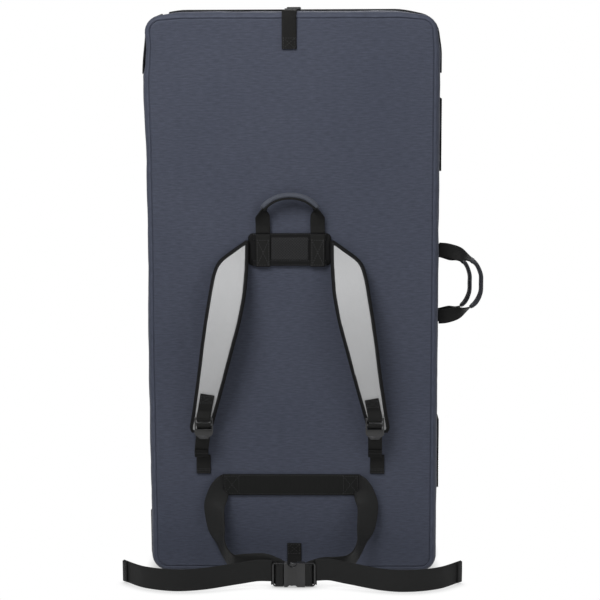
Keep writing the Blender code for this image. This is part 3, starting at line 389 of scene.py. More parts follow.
def pad_shell(name, side):
    """One half's shell: an outer face on a fine grid, and the boxing band drawn from its border."""
    half_x = PAD_HALF_WIDTH - SEAM_INSET
    half_z = PAD_HEIGHT / 2 - SEAM_INSET
    radius = CORNER - SEAM_INSET
    places, faces, border = rounded_grid(half_x, half_z, radius, CELL, SEAM_STEPS)
    points, uvs = [], []
    seed = 7.0 * side
    for x, z, inset in places:
        inner = min(1.0, inset / half_x)
        depth = PAD_DEPTH - CROWN + CROWN * (1 - (1 - inner) ** 2)
        wide = wrinkle(x * 6, z * 4, seed)
        drift = wrinkle(x * 16, z * 12, seed + 4)
        crease = wrinkle(x * 7 + z * 3, z * 34, seed + 13)
        pucker = wrinkle(x * 75, z * 75, seed + 9)
        depth -= (WIDE_DENT * (0.5 + wide) + SMALL_DENT * (0.5 + drift)) * min(1, inset / 0.05)
        depth -= FINE_CREASE * max(0, crease)
        near_seam = max(0.0, 1 - inset / 0.020)
        depth -= SEAM_DIP * max(0.0, 1 - inset / 0.0020) + SEAM_PUCKER * near_seam * near_seam * max(0.0, pucker)
        points.append((x, FOLD_Y + side * depth, z + PAD_HEIGHT / 2))
        uvs.append((x, z))
    loop = border
    runs = runs_along([points[at] for at in border])
    for depth_share, inset_share in BAND_SHARES:
        grow = SEAM_INSET - inset_share * SEAM_INSET
        fresh = list(range(len(points), len(points) + len(border)))
        for run, at in zip(runs, border):
            x, _, z = points[at]
            z -= PAD_HEIGHT / 2
            core_x = max(radius - half_x, min(half_x - radius, x))
            core_z = max(radius - half_z, min(half_z - radius, z))
            out = Vector((x - core_x, z - core_z))
            out = out.normalized() if out.length > 1e-9 else Vector((0, 0))
            ripple = wrinkle(run * 22, depth_share * 3, seed + 2)
            crease = wrinkle(run * 60, depth_share * 5, seed + 6)
            sink = BAND_DENT * (0.5 + ripple) + BAND_CREASE * max(0, crease)
            new_x = x + out[0] * grow - out[0] * sink
            high = z + out[1] * grow - out[1] * sink + PAD_HEIGHT / 2
            from_keeper = abs(new_x - KEEPER_X)
            if side < 0 and from_keeper < KEEPER_REACH and high < 0.02:
                high = max(high, KEEPER_RISE * min(1.0, (KEEPER_REACH - from_keeper) / 0.009))
            points.append((new_x, FOLD_Y + side * depth_share * PAD_DEPTH, max(high, 0.0)))
            uvs.append((run, 0.5 + depth_share * PAD_DEPTH))
        after = fresh[1:] + fresh[:1]
        faces += zip(loop, fresh, after, loop[1:] + loop[:1])
        loop = fresh
    faces.append(tuple(loop))
    return mesh_object(name, points, [face[::-1] for face in faces] if side > 0 else faces, uvs)


def eased(low, high, value):
    """A smooth step from 0 to 1 as a value goes from low to high."""
    share = min(1.0, max(0.0, (value - low) / (high - low)))
    return share * share * (3 - 2 * share)


# Each sag: its side, axis and depth in metres, its ramps outwards and upwards, and for two of
# them the ramp by which they end; "sunk" stands for the piece's own depth
SAG_FROM = 0.17
FIRM_SHARE = 0.55
SAGS = [(-1, 2, -0.0085, (0.180, 0.245), (0.90, 0.970), None), (-1, 0, 0.0065, (0.20, 0.245), (0.875, 0.970), None),
        (-1, 0, "sunk", (0.20, 0.245), (0.875, 0.900), (-0.955, -0.925)),
        (-1, 0, 0.0030, (0.20, 0.245), (0.42, 0.58), (-0.865, -0.74)),
        (1, 2, -0.0092, (0.175, 0.245), (0.90, 0.970), None), (1, 0, -0.0052, (0.20, 0.245), (0.910, 0.970), None)]


def slumped(piece, sunk=0.0):
    """Lets a piece sink at the pad's two upper corners and draw in at the fold side, as worn foam does."""
    for vertex in piece.data.vertices:
        x, y, z = vertex.co
        weight = 1 - FIRM_SHARE * eased(0.068, 0.082, abs(y - FOLD_Y))
        for side, axis, depth, outwards, upwards, ending in SAGS:
            if side * x > SAG_FROM:
                shift = weight * (sunk if depth == "sunk" else depth) * eased(*outwards, side * x)
                vertex.co[axis] += shift * eased(*upwards, z) * (eased(*ending, -z) if ending else 1)
    return piece


def outward(piece):
    """Merges doubles and points every face outwards."""
    shape = bmesh.new()
    shape.from_mesh(piece.data)
    bmesh.ops.remove_doubles(shape, verts=shape.verts, dist=0.00001)
    bmesh.ops.recalc_face_normals(shape, faces=shape.faces)
    shape.to_mesh(piece.data)
    shape.free()
    return piece


def closed_mesh(name, points, faces, uvs=None):
    """A mesh object whose faces all point outwards."""
    return outward(mesh_object(name, points, faces, uvs))


FRONT_SAG = 0.0050
for half, side in HALVES:
    shell = slumped(outward(pad_shell(half + "_shell", side)), FRONT_SAG if half == "front" else 0.0)
    ready(shell, shell_cloth, half + "_half", "shell", half + "_cover", half + "_core_foam")


# The landing side: a thin firm foam sheet in hard-wearing black cloth on each half. The two
# sheets lie face to face when the pad is shut.
LANDING_INSET = 0.0045
LANDING_DEPTHS = (0.0003, 0.0032)


def joined(name, pieces):
    """One mesh object from several, which are removed."""
    shape = bmesh.new()
    for item in pieces:
        shape.from_mesh(item.data)
        bpy.data.objects.remove(item, do_unlink=True)
    mesh = bpy.data.meshes.new(name)
    shape.to_mesh(mesh)
    shape.free()
    return linked(name, mesh)


for half, side in HALVES:
    half_x = PAD_HALF_WIDTH - LANDING_INSET
    half_z = PAD_HEIGHT / 2 - LANDING_INSET
    places, faces, border = rounded_grid(half_x, half_z, CORNER - LANDING_INSET, 0.012)
    points = []
    for level in LANDING_DEPTHS:
        for x, z, inset in places:
            roll = 0.0008 * max(0.0, 1 - inset / 0.004) * (level == LANDING_DEPTHS[0])
            points.append((x, FOLD_Y + side * (level + roll), z + PAD_HEIGHT / 2))
    uvs = [(x, z) for x, z, _ in places] * 2
    landing = slumped(closed_mesh(half + "_landing", points, slab_faces(faces, border, len(places)), uvs))
    ready(landing, landing_cloth, half + "_half", "landing", half + "_landing_panel", half + "_landing_foam")


# Webbing and tape. Each length is a flat woven band with rounded selvedges, swept along its
# route, and mapped in metres so that the ribs cross it at their real size.
webbing_cloth = cloth_finish(
    "webbing_cloth", (0.0135, 0.0135, 0.0132), (0.026, 0.026, 0.026), (0.0024, 0.0013), 0.6, 0.0003, 0.55,
    amount=0.25, patch=20, shine=0.12)
band_cloth = cloth_finish(
    "band_cloth", (0.0150, 0.0155, 0.0150), (0.022, 0.022, 0.022), (0.0030, 0.0022), 0.85, 0.0005, 0.6,
    patch=20, shine=0.10)
tape_cloth = cloth_finish(
    "tape_cloth", (0.0115, 0.0115, 0.0120), (0.022, 0.022, 0.023), (0.0011, 0.0009), 0.5, 0.0002, 0.6,
    patch=30, shine=0.10)
WEBBING = 0.025
BELT = 0.038
THIN = 0.0018
THICK = 0.0020


def smooth_curve(knots, steps):
    """A curve through every knot, with the given steps to a span."""
    run = [2 * knots[0] - knots[1], *knots, 2 * knots[-1] - knots[-2]]
    points = []
    for a, b, c, d in zip(run, run[1:], run[2:], run[3:]):
        for step in range(steps):
            t = step / steps
            bend = (2 * a - 5 * b + 4 * c - d) * t * t + (3 * b - a - 3 * c + d) * t ** 3
            points.append((2 * b + (c - a) * t + bend) / 2)
    points.append(knots[-1])
    return points


def frames_along(points, acrosses):
    """Centre, sideways and upward directions at each point of a path."""
    ends = [points[0], *points, points[-1]]
    frames = []
    for index, (point, across) in enumerate(zip(points, acrosses)):
        travel = (ends[index + 2] - ends[index]).normalized()
        sideways = (across - travel * across.dot(travel)).normalized()
        frames.append((point, sideways, travel.cross(sideways)))
    return frames


def ribbon(name, points, acrosses, width, thickness, columns=6, wave=0.0, shares=None):
    """A woven band along a path, as a closed mesh with a map in metres. Shares narrow it point by point."""
    up = thickness / 2
    flat = width / 2 - up
    edge, bevel = flat + up * 0.87, up * 0.5
    face = [(-flat + 2 * flat * step / columns, up) for step in range(columns + 1)]
    section = face + [(edge, bevel), (edge, -bevel)]
    section += [(-across, -up) for across, _ in face] + [(-edge, -bevel), (-edge, bevel), face[0]]
    around = [0.0]
    for before, after in zip(section, section[1:]):
        around.append(around[-1] + hypot(after[0] - before[0], after[1] - before[1]))
    verts, uvs = [], []
    rows = zip(frames_along(points, acrosses), runs_along(points), shares or [1.0] * len(points))
    for (point, sideways, upward), along, share in rows:
        for (across, high), far in zip(section, around):
            across *= share
            ripple = wave * wrinkle(point[0] * 25, point[2] * 25, across * 30 + 3)
            verts.append(point + sideways * across + upward * (high + ripple))
            uvs.append((far - flat, along))
    return closed_mesh(name, verts, tube_faces(len(points), len(section)), uvs)


def band(name, knots, across, width=WEBBING, thickness=THIN, steps=6, **more):
    """A band whose width keeps one direction, through knots given in metres."""
    points = smooth_curve([Vector(knot) for knot in knots], steps)
    return ribbon(name, points, [Vector(across)] * len(points), width, thickness, **more)


# Stitching: a thread that shows as a short capsule at each stitch. The tree sets one capsule on
# every step of the lines it is given, turned along the line.
thread_finish, tree, _ = new_material("sewing_thread")
strand = noise_node(tree, object_place(tree), 1400)
surfaced(tree, blend_node(tree, strand, (0.010, 0.010, 0.011, 1), (0.055, 0.056, 0.060, 1)), 0.5, strand)

sewing, given, leave = node_group(
    "stitch_row", "GeometryNodeTree",
    [("Geometry", "g", None), ("Spacing", "f", 0.0042), ("Stitch Length", "f", 0.0030), ("Thread", "f", 0.0005)],
    [("Geometry", "g")])
curve = add_node(sewing, "GeometryNodeMeshToCurve", {"Mesh": given["Geometry"]}).outputs["Curve"]
steps = add_node(sewing, "GeometryNodeResampleCurve", {"Curve": curve, "Length": given["Spacing"]}, mode="LENGTH")
capsule = add_node(sewing, "GeometryNodeMeshIcoSphere", {"Radius": 1.0, "Subdivisions": 1})
tangent = add_node(sewing, "GeometryNodeInputTangent").outputs["Tangent"]
align = add_node(sewing, "FunctionNodeAlignRotationToVector", {"Vector": tangent}, axis="Z")
half_stitch = math_node(sewing, "MULTIPLY", given["Stitch Length"], 0.5)
size = add_node(sewing, "ShaderNodeCombineXYZ", {"X": given["Thread"], "Y": given["Thread"], "Z": half_stitch})
copies = add_node(sewing, "GeometryNodeInstanceOnPoints", {
    "Points": steps.outputs["Curve"], "Instance": capsule.outputs["Mesh"],
    "Rotation": align.outputs["Rotation"], "Scale": size.outputs[0]}).outputs["Instances"]
real = add_node(sewing, "GeometryNodeRealizeInstances", {"Geometry": copies}).outputs["Geometry"]
paint = add_node(sewing, "GeometryNodeSetMaterial", {"Geometry": real, "Material": thread_finish})
sewing.links.new(paint.outputs["Geometry"], leave["Geometry"])


def applied(piece):
    """The mesh of a piece after its modifiers, which are taken off it."""
    bpy.context.view_layer.update()
    mesh = bpy.data.meshes.new_from_object(piece.evaluated_get(bpy.context.evaluated_depsgraph_get()))
    piece.modifiers.clear()
    return mesh


def stitches(name, lines, body, slot="webbing", spacing=0.0042, length=0.0030, thread=0.00045):
    """Rows of stitches along lines of points, as one plain mesh."""
    verts, edges = [], []
    for line in lines:
        start = len(verts)
        verts += [tuple(point) for point in line]
        edges += [(start + at, start + at + 1) for at in range(len(line) - 1)]
    mesh = bpy.data.meshes.new(name + "_lines")
    mesh.from_pydata(verts, edges, [])
    guide = linked(name + "_lines", mesh)
    modifier = guide.modifiers.new("sewing", "NODES")
    modifier.node_group = sewing
    values = {"Spacing": spacing, "Stitch Length": length, "Thread": thread}
    for item in sewing.interface.items_tree:
        if item.in_out == "INPUT" and item.name in values:
            modifier[item.identifier] = values[item.name]
    made = linked(name, applied(guide))
    bpy.data.objects.remove(guide, do_unlink=True)
    return ready(made, thread_finish, body, slot)


def crossed(a, b, c, d):
    """A stitched outline with a cross in it."""
    return [[a, b, c, d, a], [a, c], [b, d]]


def corners(first_x, second_x, low_z, high_z):
    """The corners of a rectangle in X and Z."""
    return [(first_x, low_z), (second_x, low_z), (second_x, high_z), (first_x, high_z)]


def box_x(first_x, second_x, low_z, high_z, y):
    """The stitched box with a cross that holds a webbing end."""
    return crossed(*((x, y, z) for x, z in corners(first_x, second_x, low_z, high_z)))


def web(name, knots, body, *nodes, **more):
    """An upright length of webbing on its body."""
    return ready(band(name, knots, (1, 0, 0), **more), webbing_cloth, body, "webbing", *nodes)


# Hinge fabric: one length of shell cloth sewn to both boxing bands, which the pad folds on.
HINGE_KNOTS = [(-0.25478, 0.0142), (-0.2552, 0.024), (-0.2567, 0.035), (-0.2579, 0.044),
               (-0.2567, 0.053), (-0.2552, 0.064), (-0.25478, 0.0738)]
across_hinge = smooth_curve([Vector((x, y, PAD_HEIGHT / 2)) for x, y in HINGE_KNOTS], 6)
hinge = ribbon("hinge_fabric", across_hinge, [Vector((0, 0, 1))] * len(across_hinge), 0.770, 0.0011, columns=90,
               wave=0.0004)
ready(slumped(hinge), shell_cloth, None, "shell", "front_hinge_strip", "rear_hinge_strip")
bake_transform(hinge)


# End flaps and gores: black cloth sewn to the rear half, which close both ends of the fold. The
# top flap turns the corner on the open side, and the gores fill the corners beside the hinge.
FLAP_PROUD = 0.0009
FLAP_LEG = 0.105
FLAP_START = -0.209
CLOTH_STEP = 0.008


def end_route(start_x, high, skip=0):
    """Points along the pad's outline at one end, from a place in X round the far corner."""
    up = 1 if high else -1
    end_z = PAD_HEIGHT if high else 0.0
    side_x = -1 if start_x > 0 else 1
    route = [(start_x, end_z + up * FLAP_PROUD)]
    for step in range(7):
        turn = radians(90 - 15 * step)
        reach = CORNER + FLAP_PROUD
        corner_x = PAD_HALF_WIDTH - CORNER + reach * cos(turn)
        route.append((side_x * corner_x, end_z - up * (CORNER - reach * sin(turn))))
    route.append((side_x * (PAD_HALF_WIDTH + FLAP_PROUD), end_z - up * FLAP_LEG))
    return route[skip:]


def even_run(route, y):
    """Evenly spaced points along straight runs in X and Z."""
    turns = [Vector((x, y, z)) for x, z in route]
    points = [turns[0]]
    for before, after in zip(turns, turns[1:]):
        count = max(1, round((after - before).length / CLOTH_STEP))
        points += [before.lerp(after, (step + 1) / count) for step in range(count)]
    return points


def end_cloth(name, route, near_y, far_y, body, rests_on, *nodes):
    """One strip of end cloth over an outline, with a bound front edge and stitches inside both edges."""
    points = even_run(route, (near_y + far_y) / 2)
    across = [Vector((0, 1, 0))] * len(points)
    cloth = ribbon(name, points, across, far_y - near_y, 0.0012, columns=10, wave=0.0005)
    rim_points = [Vector((p[0], near_y + 0.0035, p[2])) for p in points]
    made = joined(name, [cloth, ribbon("end_binding", rim_points, across, 0.0075, 0.0032, columns=4)])
    ready(slumped(made), landing_cloth, body, "landing", *nodes)
    rows = [[Vector((p[0], y, p[2])) + up * face for p, _, up in frames_along(points, across)]
            for y in (near_y + 0.004, far_y - 0.004) for face in (-0.0007, 0.0007)]
    slumped(stitches(name + "_stitching", rows, body, slot="landing"))


end_cloth("top_flap_cloth", end_route(FLAP_START, True), -0.006, 0.094, "top_end_flap",
          ["front_shell", "rear_shell"], "top_flap")
for half, side in HALVES:
    for end, high in (("top", True), ("bottom", False)):
        low_y, high_y = sorted((FOLD_Y + side * 0.0012, FOLD_Y + side * 0.0492))
        node = half + "_" + end + "_gore"
        end_cloth(node + "_cloth", end_route(-FLAP_START, high, 1 if high else 4), low_y, high_y, half + "_half",
                  [half + "_shell"], node)

low_flap = []
for low_x, high_x, near_y in ((FLAP_START, -0.01175, 0.028), (-0.01175, 0.01435, 0.0401),
                              (0.01435, -FLAP_START, 0.028)):
    knots = [(x, (near_y + 0.060) / 2, 0.0009) for x in (low_x, (low_x + high_x) / 2, high_x)]
    low_flap.append(band("low_flap_part", knots, (0, 1, 0), 0.060 - near_y, 0.0012, steps=12))
low_flap = outward(joined("bottom_flap_cloth", low_flap))
ready(low_flap, landing_cloth, "bottom_end_flap", "landing", "bottom_flap")


# Closure webbing at both ends: a keeper tape sewn down the front face and turned over the edge,
# and a strap on the top flap that carries a flat hook to it.
TOP_KEEPER_X = -0.0030
TOP_KEEPER_ROUTE = [(0.08698, -0.06420), (0.08661, -0.04628), (0.08660, -0.01650), (0.08500, -0.00880),
                    (0.08180, -0.00300), (0.07760, 0.00020), (0.06527, 0.00130), (0.05307, 0.00150)]
LOW_KEEPER_ROUTE = [(0.08698, -0.05620), (0.08661, -0.04628), (0.08569, -0.01457), (0.08245, -0.00958),
                    (0.07862, -0.0056), (0.07547, -0.00319), (0.06502, -0.00149), (0.05277, -0.0009),
                    (0.03524, -0.0009), (0.02208, -0.00191), (0.01508, -0.00277)]
BOX_HALF = 0.0098
BOX_Y = FOLD_Y - 0.0883
FLAP_STRAP_X = 0.0016
for end, route, x, end_z, up in (("top", TOP_KEEPER_ROUTE, TOP_KEEPER_X, PAD_HEIGHT, 1),
                                 ("bottom", LOW_KEEPER_ROUTE, KEEPER_X, 0.0, -1)):
    knots = [(x, FOLD_Y - depth, end_z + up * high) for depth, high in route]
    web(end + "_keeper_webbing", knots, "front_half", end + "_keeper", steps=5)
    low, high = sorted(end_z + up * (route[0][1] + inset) for inset in (0.0015, 0.0185))
    stitches(end + "_keeper_stitching", box_x(x - BOX_HALF, x + BOX_HALF, low, high, BOX_Y), "front_half")

strap_knots = [(FLAP_STRAP_X, y, 0.9883) for y in (-0.0093, 0.012, 0.045, 0.080, 0.091)]
turned_knots = [(0.0042, y, z) for y, z in (
    (0.026, 0.9895), (0.014, 0.9898), (0.002, 0.9905), (-0.0062, 0.9903), (-0.0112, 0.9883), (-0.0118, 0.9850),
    (-0.0090, 0.9825))]
flap_strap = band("top_flap_webbing", strap_knots, (1, 0, 0))
flap_strap = joined("top_flap_webbing", [flap_strap, band("turned_end", turned_knots, (1, 0, 0), WEBBING - 0.0012)])
ready(flap_strap, webbing_cloth, "top_end_flap", "webbing", "top_flap_strap")
rows = [[(FLAP_STRAP_X + x, y, 0.98935) for y in (0.004, 0.03, 0.06, 0.088)] for x in (-0.0095, 0.0095)]
stitches("top_flap_webbing_stitching", rows, "top_end_flap")


# Hook-and-loop closures on the open side: a loop patch on the front boxing band, a sewn base on
# the rear one, and a stiff tab from that base that lies over the patch.
pile_finish = cloth_finish(
    "pile_tape", (0.0095, 0.0095, 0.0098), (0.022, 0.022, 0.023), (0.0008, 0.0008), 0.0, 0.0006, 0.85,
    amount=0.4, sheen=0.35, patch=60)
TAB_WIDTH = 0.125
TAB_FACE = 0.25715
for end, middle in (("upper", 0.774), ("lower", 0.211)):
    low, high = middle - TAB_WIDTH / 2, middle + TAB_WIDTH / 2
    for part, x, places, thickness, finish, body, node, more in (
            ("_pile_patch", 0.2548, (-0.006, 0.004, 0.014, 0.024), 0.0009, pile_finish, "front_half",
             "_loop_patch", {"steps": 5, "wave": 0.0001}),
            ("_tab_webbing", 0.2563, (-0.006, 0.012, 0.036, 0.056, 0.074), 0.0016, webbing_cloth, end + "_tab",
             "_closure_tab", {"wave": 0.0004}),
            ("_tab_seat", 0.25577, (0.0746, 0.080, 0.088, 0.0966), 0.0026, webbing_cloth, "rear_half",
             "_tab_base", {"steps": 5})):
        rows = [(x, y, middle) for y in places]
        ready(band(end + part, rows, (0, 0, 1), TAB_WIDTH, thickness, columns=30, **more), finish, body,
              "hook_loop", end + node)
    edge = []
    for inset in (0.0035, 0.0065):
        near_y, low_z, high_z = inset - 0.006, low + inset, high - inset
        edge += [[(TAB_FACE, near_y, z), (TAB_FACE, 0.07, z)] for z in (low_z, high_z)]
        edge.append([(TAB_FACE, near_y, low_z), (TAB_FACE, near_y, high_z)])
    stitches(end + "_tab_stitching", edge, end + "_tab", slot="hook_loop")
    seat = [[(TAB_FACE, y, low + 0.003), (TAB_FACE, y, high - 0.003)] for y in (0.079, 0.092)]
    stitches(end + "_seat_stitching", seat, "rear_half", slot="hook_loop")


# Yoke: a padded panel that carries the shoulder straps and the haul handle, with an air-mesh
# middle under the handle's ends and a bound upper and lower edge.
HARNESS_X = -0.004
YOKE_TOP = 0.609
YOKE_LOW = 0.553
YOKE_BACK = -0.04416
YOKE_FRONT = -0.04716
NET_PITCH = 0.0048

mesh_finish, tree, maths = new_material("air_mesh")
axes = add_node(tree, "ShaderNodeSeparateXYZ", {0: cloth_map(tree)}).outputs
strands = [maths("SUBTRACT", 1, maths("ABSOLUTE", maths("SINE", maths(
    "MULTIPLY", maths(way, axes["X"], axes["Y"]), pi / NET_PITCH)))) for way in ("ADD", "SUBTRACT")]
rim = maths("POWER", maths("MAXIMUM", *strands), 9)
# The holes between the strands are painted near-black, darker than any cloth here: painted shade inside the mesh.
tone = blend_node(tree, rim, (0.0015, 0.0016, 0.0022, 1), (0.072, 0.074, 0.082, 1))
surfaced(tree, tone, 0.7, rim, 0.0008)


def cushion_plate(name, half_x, low_z, high_z, back_y, front_y, corner, cell, puff):
    """A thin padded plate on the front face, with rounded corners and a soft edge."""
    places, faces, border = rounded_grid(half_x, (high_z - low_z) / 2, corner, cell)
    points = []
    for level in (1, 0):
        for x, z, inset in places:
            swell = 0.35 + 0.65 * (1 - (1 - min(1.0, inset / puff)) ** 2)
            y = back_y + level * (front_y - back_y) * swell
            points.append((HARNESS_X + x, y, (low_z + high_z) / 2 + z))
    uvs = [(x, z) for x, z, _ in places] * 2
    return closed_mesh(name, points, slab_faces(faces, border, len(places)), uvs)


yoke = cushion_plate("yoke_pad", 0.0712, YOKE_LOW, YOKE_TOP, YOKE_BACK, YOKE_FRONT, 0.0085, 0.0016, 0.004)
ready(yoke, tape_cloth, "front_half", "binding", "yoke_panel")
net = cushion_plate("yoke_net", 0.0325, 0.5625, 0.603, -0.04735, -0.04890, 0.003, 0.0012, 0.003)
ready(net, mesh_finish, "front_half", "mesh", "yoke_mesh")
edge_tapes = []
for z, width, half in ((0.6030, 0.0118, 0.0640), (0.5580, 0.0098, 0.0650)):
    rows = [(HARNESS_X + x * half, -0.0478, z) for x in (-1, -0.5, 0, 0.5, 1)]
    edge_tapes.append(band("yoke_tape", rows, (0, 0, 1), width, 0.0013, steps=8, wave=0.0002))
edging = joined("yoke_binding_tape", edge_tapes)
ready(edging, tape_cloth, "front_half", "binding")
rows = [[(HARNESS_X + x, -0.0486, z) for x in (-0.0615, 0, 0.0615)] for z in (0.5980, 0.6078, 0.5617, 0.5545)]
stitches("yoke_stitching", rows, "front_half", slot="binding", spacing=0.0036, length=0.0026)

# Haul handle: webbing sewn down over the yoke at both ends with long crossed boxes, and a loop
# of it above, drawn together at the top inside a round sleeve of shell cloth.
LEG_Y = -0.04836
GRIP_Y = -0.05976
HAUL_BASE = 0.6096
HAUL_CENTRE = -0.0027
HAUL_HALF = 0.0468
HAUL_RISE = 0.0640
for hand, side in HANDS:
    x = HAUL_CENTRE + side * HAUL_HALF
    rows = [(x, LEG_Y - 0.0010, z) for z in (0.5517, 0.564, 0.574, 0.589, 0.6072)]
    web("haul_" + hand + "_webbing", rows, "front_half", "haul_" + hand + "_end", steps=5)
    sewn = box_x(x - BOX_HALF, x + BOX_HALF, 0.5545, 0.5975, LEG_Y - 0.0021)
    stitches("haul_" + hand + "_stitching", sewn, "front_half", thread=0.0006)
# For each station of a half: how far out, up and forward it is, and its twist
HAUL_SHARES = [(1, 0, 0, 0), (1, 0.22, 0.05, 0), (1.005, 0.42, 0.35, 0.12), (0.985, 0.60, 0.80, 0.55),
               (0.86, 0.765, 1, 0.95), (0.5, 0.935, 1, 1)]
right_knots, right_sides = [], []
for out_share, up_share, forward, twist in HAUL_SHARES:
    y = LEG_Y + (GRIP_Y - LEG_Y) * forward
    right_knots.append(Vector((out_share * HAUL_HALF, y, HAUL_BASE + up_share * HAUL_RISE)))
    right_sides.append(Vector((cos(pi / 2 * twist), sin(pi / 2 * twist), 0)))
mirror = Vector((-1, 1, 1))
knots = [k * mirror for k in right_knots] + [Vector((0, GRIP_Y, HAUL_BASE + HAUL_RISE))] + right_knots[::-1]
sides = right_sides + [Vector((0, 1, 0))] + [s * mirror for s in right_sides[::-1]]
haul_path = [p + Vector((HAUL_CENTRE, 0, 0)) for p in smooth_curve(knots, 8)]
haul_sides = smooth_curve(sides, 8)
from_ends = [min(at, len(haul_path) - 1 - at) for at in range(len(haul_path))]
gathered = [1 - 0.56 * min(1.0, max(0.0, (at - 18) / 12)) for at in from_ends]
loop = ribbon("haul_loop_webbing", haul_path, haul_sides, WEBBING, THIN, shares=gathered)
ready(loop, webbing_cloth, "haul_handle", "webbing", "haul_webbing")

# The side handles' sleeve: the shell cloth painted darker, as painted shade on the pad's open side.
shaded_grip_cloth = cloth_finish(
    "shaded_grip_cloth", (0.026, 0.028, 0.036), (0.042, 0.044, 0.053), (0.0011, 0.0011), 0.1, 0.0002, 0.6)
# The haul grip's sleeve: the shell cloth painted lighter all over, as a painted highlight.
highlit_sleeve_cloth = cloth_finish(
    "highlit_sleeve_cloth", (0.078, 0.087, 0.112), (0.105, 0.115, 0.142), (0.0011, 0.0011), 0.1, 0.0002, 0.6,
    amount=0.4, sheen=0.1, patch=30)


def grip_sleeve(name, path, sides, body, node, share, wide, deep, lift=0.0, cloth=highlit_sleeve_cloth):
    """The sewn tube of shell cloth over the middle of a handle, with a rolled mouth at each end."""
    bare = round(len(path) * share)
    frames = frames_along(path[bare:-bare], sides[bare:-bare])
    around = 20
    verts, uvs = [], []
    for row, ((p, s, u), along) in enumerate(zip(frames, runs_along(path[bare:-bare]))):
        end = min(row, len(frames) - 1 - row)
        swell = (0.80, 0.95, 1.02)[end] if end < 3 else 1.0
        for column in range(around + 1):
            turn = 2 * pi * column / around
            pucker = 1 + 0.05 * wrinkle(along * 90, cos(turn) * 1.5, sin(turn) * 1.5)
            verts.append(p + u * lift + (s * cos(turn) * wide + u * sin(turn) * deep) * swell * pucker / 2)
            uvs.append((turn * wide / 2, along))
    tube = closed_mesh(name, verts, tube_faces(len(frames), around + 1), uvs)
    ready(tube, cloth, body, "shell", node)
    rows = [[p + s * wide * 0.51 for p, s, _ in frames]]
    for p, s, u in (frames[2], frames[-3]):
        ring = [radians(24 * step) for step in range(16)]
        rows.append([p + u * lift + (s * cos(turn) * wide + u * sin(turn) * deep) * 0.525 for turn in ring])
    stitches(name + "_stitching", rows, body, slot="shell", spacing=0.0036, length=0.0025, thread=0.0005)


grip_sleeve("haul_grip", haul_path, haul_sides, "haul_handle", "haul_sleeve", 0.275, 0.0135, 0.0092, 0.0020)
# The loop's black webbing gathered under the sleeve. It also stands in for the shade under the round grip: partly
# painted shade.
UNDER_SPAN = slice(26, -26)
under_sides = haul_sides[UNDER_SPAN]
under_path = [p - u * 0.0030 for p, _, u in frames_along(haul_path[UNDER_SPAN], under_sides)]
under = ribbon("haul_folded_webbing", under_path, under_sides, 0.0120, 0.0036, columns=4)
ready(under, webbing_cloth, "haul_handle", "webbing")


# Side carrying handles, one on the open side of each half: webbing loops that stand out from the
# boxing band, turned on edge at the grip, in a sleeve of shell cloth.
SIDE_X = 0.2543
SIDE_RISE = 0.0575
SIDE_DEPTH = 0.050
# For each station of an upper half: how far out and up it is, and its twist
SIDE_SHARES = [(0, 1.03, 0), (0.18, 1.01, 0), (0.42, 0.925, 0.18), (0.66, 0.80, 0.70), (0.87, 0.60, 1),
               (0.985, 0.30, 1), (1, 0, 1)]
for half, side, reach, middle in (("front", -1, 0.074, 0.516), ("rear", 1, 0.0628, 0.502)):
    y = FOLD_Y + side * SIDE_DEPTH
    upper, upper_sides = [], []
    for out_share, up_share, twist in SIDE_SHARES:
        upper.append(Vector((SIDE_X + out_share * reach, y, middle + up_share * SIDE_RISE)))
        upper_sides.append(Vector((0, sin(pi / 2 * twist), cos(pi / 2 * twist))))
    lower = [Vector((k[0], k[1], 2 * middle - k[2])) for k in upper[-2::-1]]
    lower_sides = [Vector((0, k[1], -k[2])) for k in upper_sides[-2::-1]]
    side_path = smooth_curve(upper + lower, 8)
    side_ways = smooth_curve(upper_sides + lower_sides, 8)
    loop = ribbon(half + "_handle_loop", side_path, side_ways, WEBBING, THIN)
    ready(loop, webbing_cloth, half + "_side_handle", "webbing", half + "_handle_webbing")
    grip_sleeve(half + "_handle_grip", side_path, side_ways, half + "_side_handle", half + "_handle_sleeve", 0.28,
                0.0290, 0.0075, cloth=shaded_grip_cloth)


# Shoulder straps: each a curved foam pad faced in pale coated cloth, backed in air mesh, with a
# black tape folded over its whole edge. They bow off the pad and end in a ladder lock.
STRAP_TOP = 0.597
STRAP_LENGTH = 0.335
STRAP_SPREAD = 0.098
STRAP_INNER = 0.0698
STRAP_BOW = 0.036
TAPE = 0.0062
# For each station: how far down, its inner and outer edge as shares of the spread, and its bow
STRAP_SHARES = [(0.0, 0.0, 0.060, 0.0), (0.035, 0.0, 0.235, 0.04), (0.10, 0.004, 0.525, 0.18),
                (0.17, 0.014, 0.635, 0.40), (0.28, 0.048, 0.705, 0.76), (0.41, 0.133, 0.775, 0.97),
                (0.54, 0.250, 0.838, 1.0), (0.67, 0.365, 0.892, 0.90), (0.80, 0.482, 0.955, 0.68),
                (0.90, 0.575, 1.005, 0.46), (0.97, 0.64, 1.045, 0.33), (1.0, 0.70, 1.01, 0.30)]
STRAP_REST = -0.04955
strap_cloth = cloth_finish(
    "strap_cloth", (0.60, 0.605, 0.612), (0.50, 0.505, 0.515), (0.0009, 0.0009), 0.1, 0.00012, 0.5,
    amount=0.5, patch=6)
stations = smooth_curve([Vector(share) for share in STRAP_SHARES], 4)


def strap_y(z):
    """Y of the middle of a strap's padding at a height."""
    down = (STRAP_TOP - z) / STRAP_LENGTH
    bow = stations[-1][3]
    for low, high in zip(stations, stations[1:]):
        if down <= high[0]:
            bow = low[3] + (high[3] - low[3]) * max(0.0, (down - low[0]) / (high[0] - low[0]))
            break
    return STRAP_REST - STRAP_BOW * bow


